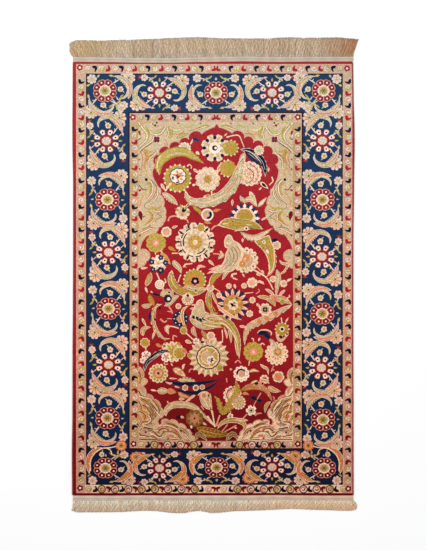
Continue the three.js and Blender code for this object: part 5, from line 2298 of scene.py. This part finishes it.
@dataclass
class EndWeb:
    """The flat-woven web at one end, with a twined line along it."""

    end: int
    depth: float = 18.0
    thickness: float = 2.1
    gap: float = 0.3
    across_steps: int = 900
    depth_steps: int = 30
    line_place: float = 0.56
    line_width: float = 3.4
    line_rise: float = 0.7
    pitch: float = 4.4

    def build(self, material: bpy.types.Material) -> bpy.types.Object:
        """Builds the web from a grid with ribs, closes it and colours its bands."""
        bm, grid = grid_of(self.across_steps, self.depth_steps)
        across = grid[:, 0] * (PLAN.half_width - 1.2)
        out = (grid[:, 1] * self.end + 1) / 2
        y = PLAN.end_y(self.end, across, self.gap + self.depth * out)
        ribs = 0.09 * np.cos(across * 2 * math.pi / self.pitch) * np.cos(out * math.pi * 15)
        ribs += 0.05 * np.sin(across / 23)
        reach = (out - self.line_place) * self.depth / (self.line_width / 2)
        twist = 0.72 + 0.28 * np.cos((across + reach * 1.1) * 2 * math.pi / self.pitch)
        line = self.line_rise * np.sqrt(np.clip(1 - reach * reach, 0, 1)) * twist
        rounded = np.minimum(np.minimum(out, 1 - out) * self.depth, 0.9)
        z = self.thickness - 0.12 + ribs + line - (0.9 - np.sqrt(np.maximum(0.81 - (0.9 - rounded) ** 2, 0)))
        move_to(bm, PLAN.place(across, y, z))
        close_towards(bm, 0.0)
        bmesh.ops.recalc_face_normals(bm, faces=bm.faces)
        name = END_NAMES[self.end]
        mesh = mesh_of(bm, f"web_{name}")
        self.colour(mesh)
        return piece_from(f"web_{name}", mesh, material, "end_silk", f"fringed_end_{name}")

    def colour(self, mesh: bpy.types.Mesh) -> None:
        """Colours the pale weft, the grey line and the duller edge beside the fringe."""
        spots = corner_places(mesh) * 1000
        across, up = spots[:, 0] - PLAN.shift_x, spots[:, 1] - PLAN.shift_y
        out = ((up - PLAN.end_y(self.end, across, self.gap)) * self.end / self.depth).clip(0, 1)
        pale, grey, dull = (np.array(linear(shown)) for shown in WEB_COLOURS[self.end])
        near_line = np.clip(1.3 - np.abs(out - self.line_place) * self.depth / (self.line_width / 2), 0, 1)[:, None]
        outer = np.clip((out - self.line_place) * 3, 0, 1)[:, None]
        colours = (pale * (1 - outer) + dull * outer) * (1 - near_line) + grey * near_line
        if self.end < 0:
            colours *= 1 + np.clip((across - 20) / 300, 0, 1)[:, None] * np.array((0.03, -0.06, -0.17))
        colours *= (1 + 0.06 * np.sin(across / 9 + np.sin(across / 31)) + 0.05 * np.sin(across * 1.43))[:, None]
        colour_corners(mesh, colours)


# By end: the weft, the twined line and the edge beside the fringe.
WEB_COLOURS = {1: ("baa795", "9c9b8a", "b6b2a1"), -1: ("c7b3a0", "a69485", "ae9f8e")}


@dataclass
class Fringe:
    """The dense silk fringe at one end: fine crimped strands in layers, joined into one mesh."""

    end: int
    strands: int = 2600
    rings: int = 8
    columns: int = 52
    seed: int = 11

    def build(self, material: bpy.types.Material) -> bpy.types.Object:
        """Builds the fringe from its strands and colours them."""
        name = END_NAMES[self.end]
        rng = np.random.default_rng(self.seed + self.end)
        places_of = self.rings_round(*self.lay_strands(rng))
        mesh = bpy.data.meshes.new(f"fringe_{name}")
        mesh.from_pydata(places_of.tolist(), [], self.faces())
        corner, per_strand = corner_vertices(mesh), self.rings * TUBE_SIDES
        strand, share = corner // per_strand, (corner // TUBE_SIDES % self.rings) / (self.rings - 1)
        colour_corners(mesh, self.colours(rng, places_of[:, 0] * 1000, corner, strand, share))
        cell_u, cell_v, around = strand % self.columns, strand // self.columns, (corner % TUBE_SIDES) / 2
        u = (cell_u + 0.1 + 0.8 * around) / self.columns
        v = (cell_v + 0.1 + 0.8 * share) / (self.strands // self.columns + 1)
        lay_on_sheet(mesh, np.stack([u, v], -1))
        return piece_from(f"fringe_{name}", mesh, material, "end_silk", f"fringed_end_{name}")

    def lay_strands(self, rng: np.random.Generator) -> tuple[np.ndarray, ...]:
        """Lays every strand from the web to its tip.

        Args:
            rng: the source of the strands' differences.

        Returns:
            Places across, up the plan and above the floor, and half widths, with a row of them for each strand.
        """
        count = self.strands
        half = PLAN.half_width - 1.8
        across = np.linspace(-half, half, count) + rng.uniform(-0.5, 0.5, count)
        across = np.clip(across, -half, half)
        layer = rng.permutation(count) % 3
        table = FRINGES[self.end]
        length = table.at(across, 1) * rng.uniform(0.95, 1.0, count) + 1.0
        drift = 1.5 * np.sin(across / 15 + 2 * np.sin(across / 37 + self.end)) + 0.6 * np.sin(across / 6.3)
        lean = table.at(across, 2) + drift + rng.normal(0, 2.4, count)
        share = np.linspace(0, 1, self.rings)[None, :]
        crimp = (1.8 + 0.6 * np.sin(across / 29 + 1) + rng.uniform(-0.4, 0.4, count))[:, None]
        phase = (across / 12 + 1.2 * np.sin(across / 17) + 0.9 * layer + rng.normal(0, 0.45, count))[:, None]
        waves = (1.7 + 0.5 * np.sin(across / 47))[:, None]
        root = PLAN.end_y(self.end, across, 17.2)
        sway = crimp * np.sin(share * waves * math.pi * 2 + phase) - crimp * np.sin(phase)
        x = across[:, None] + lean[:, None] * share**1.4 + sway * np.sqrt(share)
        near_corner = np.clip(-self.end * across - 440, 0, 50)[:, None] / 50
        x += self.end * -9.0 * near_corner**2 * np.sin(math.pi * share**0.8)
        limit = half + 10.0 + np.abs(table.at(across, 2))[:, None]
        x = np.clip(x, -limit, limit)
        y = root[:, None] + self.end * length[:, None] * share
        height = (1.0 + 0.62 * layer)[:, None]
        z = height * (1 - share**1.5 * 0.72) + 0.22 * np.sin(share * 7 + phase) * (1 - share) + 0.1
        width = rng.uniform(0.56, 0.8, count)[:, None] * np.interp(share, [0, 0.1, 0.9, 1], [0.9, 1, 1, 0.7])
        return x, y, np.maximum(z, width * 0.75 + 0.05), width

    def rings_round(self, x: np.ndarray, y: np.ndarray, z: np.ndarray, width: np.ndarray) -> np.ndarray:
        """Puts three-sided rings round the strands.

        Args:
            x: places across, one row for each strand.
            y: places up the plan.
            z: heights.
            width: half widths.

        Returns:
            The rings' places, strand by strand.
        """
        sides = []
        for angle in (90, 210, 330):
            push, lift = math.cos(math.radians(angle)), math.sin(math.radians(angle))
            sides.append(PLAN.place(x + width * push * 1.1, y, z + width * lift * 0.8))
        return np.stack(sides, axis=2).reshape(-1, 3)

    def faces(self) -> list[list[int]]:
        """Joins the rings of every strand up and closes its ends.

        Returns:
            Each face as its vertices' numbers, facing outwards.
        """
        ring = np.arange(self.rings - 1)[:, None] * TUBE_SIDES
        quads = [(ring + a, ring + b, ring + b + 3, ring + a + 3) for a, b in ((0, 1), (1, 2), (2, 0))]
        walls = np.concatenate([np.concatenate(quad, axis=1) for quad in quads])
        last = self.rings * TUBE_SIDES
        caps = np.array([[0, 2, 1], [last - 3, last - 2, last - 1]])
        first = (np.arange(self.strands) * last)[:, None, None]
        outward = -1 if self.end > 0 else 1
        both = ((part[None] + first).reshape(-1, part.shape[1])[:, ::outward] for part in (walls, caps))
        return [face for part in both for face in part.tolist()]

    def colours(
        self, rng: np.random.Generator, across: np.ndarray, corner: np.ndarray, strand: np.ndarray, share: np.ndarray
    ) -> np.ndarray:
        """Colours the strands, with a tone for each, gold and warm yarn in places, painted shade and light in
        slanting waves as of clumps, and a fall towards the tips.

        Args:
            rng: the source of the strands' tones.
            across: place of each vertex across the model in millimetres.
            corner: the vertex of each face corner.
            strand: the strand of each face corner.
            share: how far along its strand each face corner is, from 0 to 1.

        Returns:
            Red, green and blue for each face corner.
        """
        pale, dark, gilt, warm = (np.array(linear(shown)) for shown in FRINGE_COLOURS[self.end])
        roots = across[:: self.rings * TUBE_SIDES]
        tones = rng.random(LOCKS)
        locks = tones[((roots + 500) / 3.7 + rng.permutation(self.strands) % 3 * 0.33).astype(int)]
        tone = (0.3 * locks + 0.7 * rng.beta(1.3, 1.2, self.strands))[strand][:, None]
        across = across[corner]
        right = np.clip((across - 330) / 150, 0, 1) ** 1.5 * (0.75 if self.end > 0 else 0)
        gold = np.clip((-330 - across) / 120, 0, 1) * 0.45 + 0.08 * np.sin(across / 31) ** 2
        if self.end < 0:
            gold = np.clip((across - 60) / 300, 0, 0.7)
        colours = dark * (1 - tone) + pale * tone
        for share_of, yarn in ((gold, gilt), (right, warm)):
            colours = colours * (1 - share_of[:, None]) + yarn * share_of[:, None]
        # painted shade and light in slanting waves, as if the strands lay in clumps
        clump_shade = sum(
            np.sin(across * often + share * slant + 2 * np.sin(across / wander)) for often, slant, wander in CLUMP_SHADE_WAVES
        )
        colours *= (1 + 0.1 * clump_shade)[:, None]
        fall = np.array(FRINGE_FALL[self.end])
        return colours * np.stack([np.interp(share, fall[:, 0], fall[:, channel]) for channel in (1, 2, 3)], -1)


TUBE_SIDES = 3
LOCKS = 300  # tones that run across the fringe, one for each lock of strands
# For each wave of painted shade and light across the fringe, as if its strands lay in clumps: how often across, its
# slant and its wander.
CLUMP_SHADE_WAVES = ((0.83, 15.0, 23.0), (0.53, -16.0, 17.0), (0.41, 13.0, 31.0), (0.67, -14.0, 13.0))
# By end, the share of the way to the tip and what red, green and blue are multiplied by there.
FRINGE_FALL = {
    1: ((0, 1.08, 1.11, 1.28), (0.12, 0.84, 0.86, 0.95), (0.4, 0.9, 0.89, 0.89), (1, 0.83, 0.8, 0.79)),
    -1: (
        (0, 0.94, 1.03, 1.16), (0.08, 1.02, 1.1, 1.24), (0.2, 1.03, 1.11, 1.24),
        (0.45, 0.94, 0.93, 0.94), (0.7, 0.86, 0.79, 0.79), (1, 0.86, 0.78, 0.77),
    ),
}
# By end: the pale, dark, gilt and warm strands.
FRINGE_COLOURS = {1: ("ecd9bd", "a98c6a", "c9a466", "b87a48"), -1: ("f6e8cf", "c0a17a", "ecc9a2", "c4986a")}


@dataclass(frozen=True)
class Studio:
    """The plain pale floor, the soft light and the camera straight above."""

    floor_size: float = 60.0
    view_height: float = 1.925
    centre: tuple[float, float] = (-0.00357, -0.00024)
    lamps: tuple[tuple[str, tuple[float, float, float], float, float], ...] = (
        ("key", (-1.3, 1.6, 2.6), 2.0, 46.0),
        ("fill", (1.8, -1.2, 2.8), 2.4, 14.0),
    )

    def build(self) -> None:
        """Adds the floor, the lamps, the surroundings and the camera."""
        bm = bmesh.new()
        bmesh.ops.create_grid(bm, x_segments=1, y_segments=1, size=self.floor_size / 2)
        mesh = mesh_of(bm, "studio_floor")
        floor = bpy.data.objects.new("studio_floor", mesh)
        floor.location.z = -0.0002
        bpy.context.scene.collection.objects.link(floor)
        material, _, shader = Finish("floor_paint", 0.9, 0.0, specular=0.1).start()
        shader.inputs["Base Color"].default_value = (0.9, 0.9, 0.9, 1)
        mesh.materials.append(material)
        world = bpy.data.worlds.new("studio")
        world.use_nodes = True
        world.node_tree.nodes["Background"].inputs[0].default_value = (1, 1, 1, 1)
        world.node_tree.nodes["Background"].inputs[1].default_value = 0.8
        bpy.context.scene.world = world
        for name, place, size, power in self.lamps:
            lamp = bpy.data.lights.new(name, "AREA")
            lamp.energy, lamp.size = power, size
            light = bpy.data.objects.new(name, lamp)
            light.location = place
            light.rotation_euler = (Vector((0, 0, 0)) - Vector(place)).to_track_quat("-Z", "Y").to_euler()
            bpy.context.scene.collection.objects.link(light)
        eye = bpy.data.cameras.new("camera")
        eye.type = "ORTHO"
        eye.ortho_scale = self.view_height
        eye.sensor_fit = "AUTO"
        camera = bpy.data.objects.new("camera", eye)
        camera.location = (*self.centre, 3.0)
        bpy.context.scene.collection.objects.link(camera)
        bpy.context.scene.camera = camera
        bpy.context.scene.view_settings.view_transform = "Standard"


FACE_SILK = KnottedFinish("pile_silk_face", 0.72, 0.0, specular=0.05)
BACK_SILK = KnottedFinish(
    "pile_silk_back", 0.8, 0.02, specular=0.1, bump=0.7, spread=0.3, abrash_and_shade_depth=0.6, mottling=0.7
)
CORD_SILK = ThreadFinish("cord_silk", 0.6, 0.1, along=(200.0, 1500.0, 200.0))
WEB_SILK = ThreadFinish("web_silk", 0.7, 0.1, along=(1500.0, 90.0, 400.0), spread=0.5)
FRINGE_SILK = ThreadFinish("fringe_silk", 0.7, 0.1, along=(520.0, 210.0, 300.0), spread=0.9, mottling=0.55)
PILE_RIMS = (0.0, 0.3, 0.8, 1.5)  # insets of the loops that round off the pile's edge, in millimetres


def main() -> None:
    """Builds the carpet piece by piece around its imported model."""
    logging.basicConfig(level=logging.INFO, format="%(message)s")
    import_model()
    Studio().build()
    chart = Design().draw()
    mosaic = Mosaic.of(chart.shapes, rims=PILE_RIMS)
    LOG.info("%d shapes, %d places, %d triangles", len(chart.shapes), len(mosaic.places), len(mosaic.triangles))
    effects = Effects()
    face_silk, back_silk = FACE_SILK.make(effects), BACK_SILK.make(effects)
    back = KnottedLayer("woven_back", 0.05, 1.8, 0.5).build(mosaic, back_silk)
    pile = KnottedLayer("pile_face", 4.5, 1.86, 1.5, ripple=0.06).build(mosaic, face_silk)
    cord_silk, web_silk, fringe_silk = (finish.make(effects) for finish in (CORD_SILK, WEB_SILK, FRINGE_SILK))
    trims = [SideCord(side).build(cord_silk) for side in (-1, 1)]
    for end in BOTH_ENDS:
        trims += [EndWeb(end).build(web_silk), Fringe(end).build(fringe_silk)]


if __name__ == "__main__":
    main()
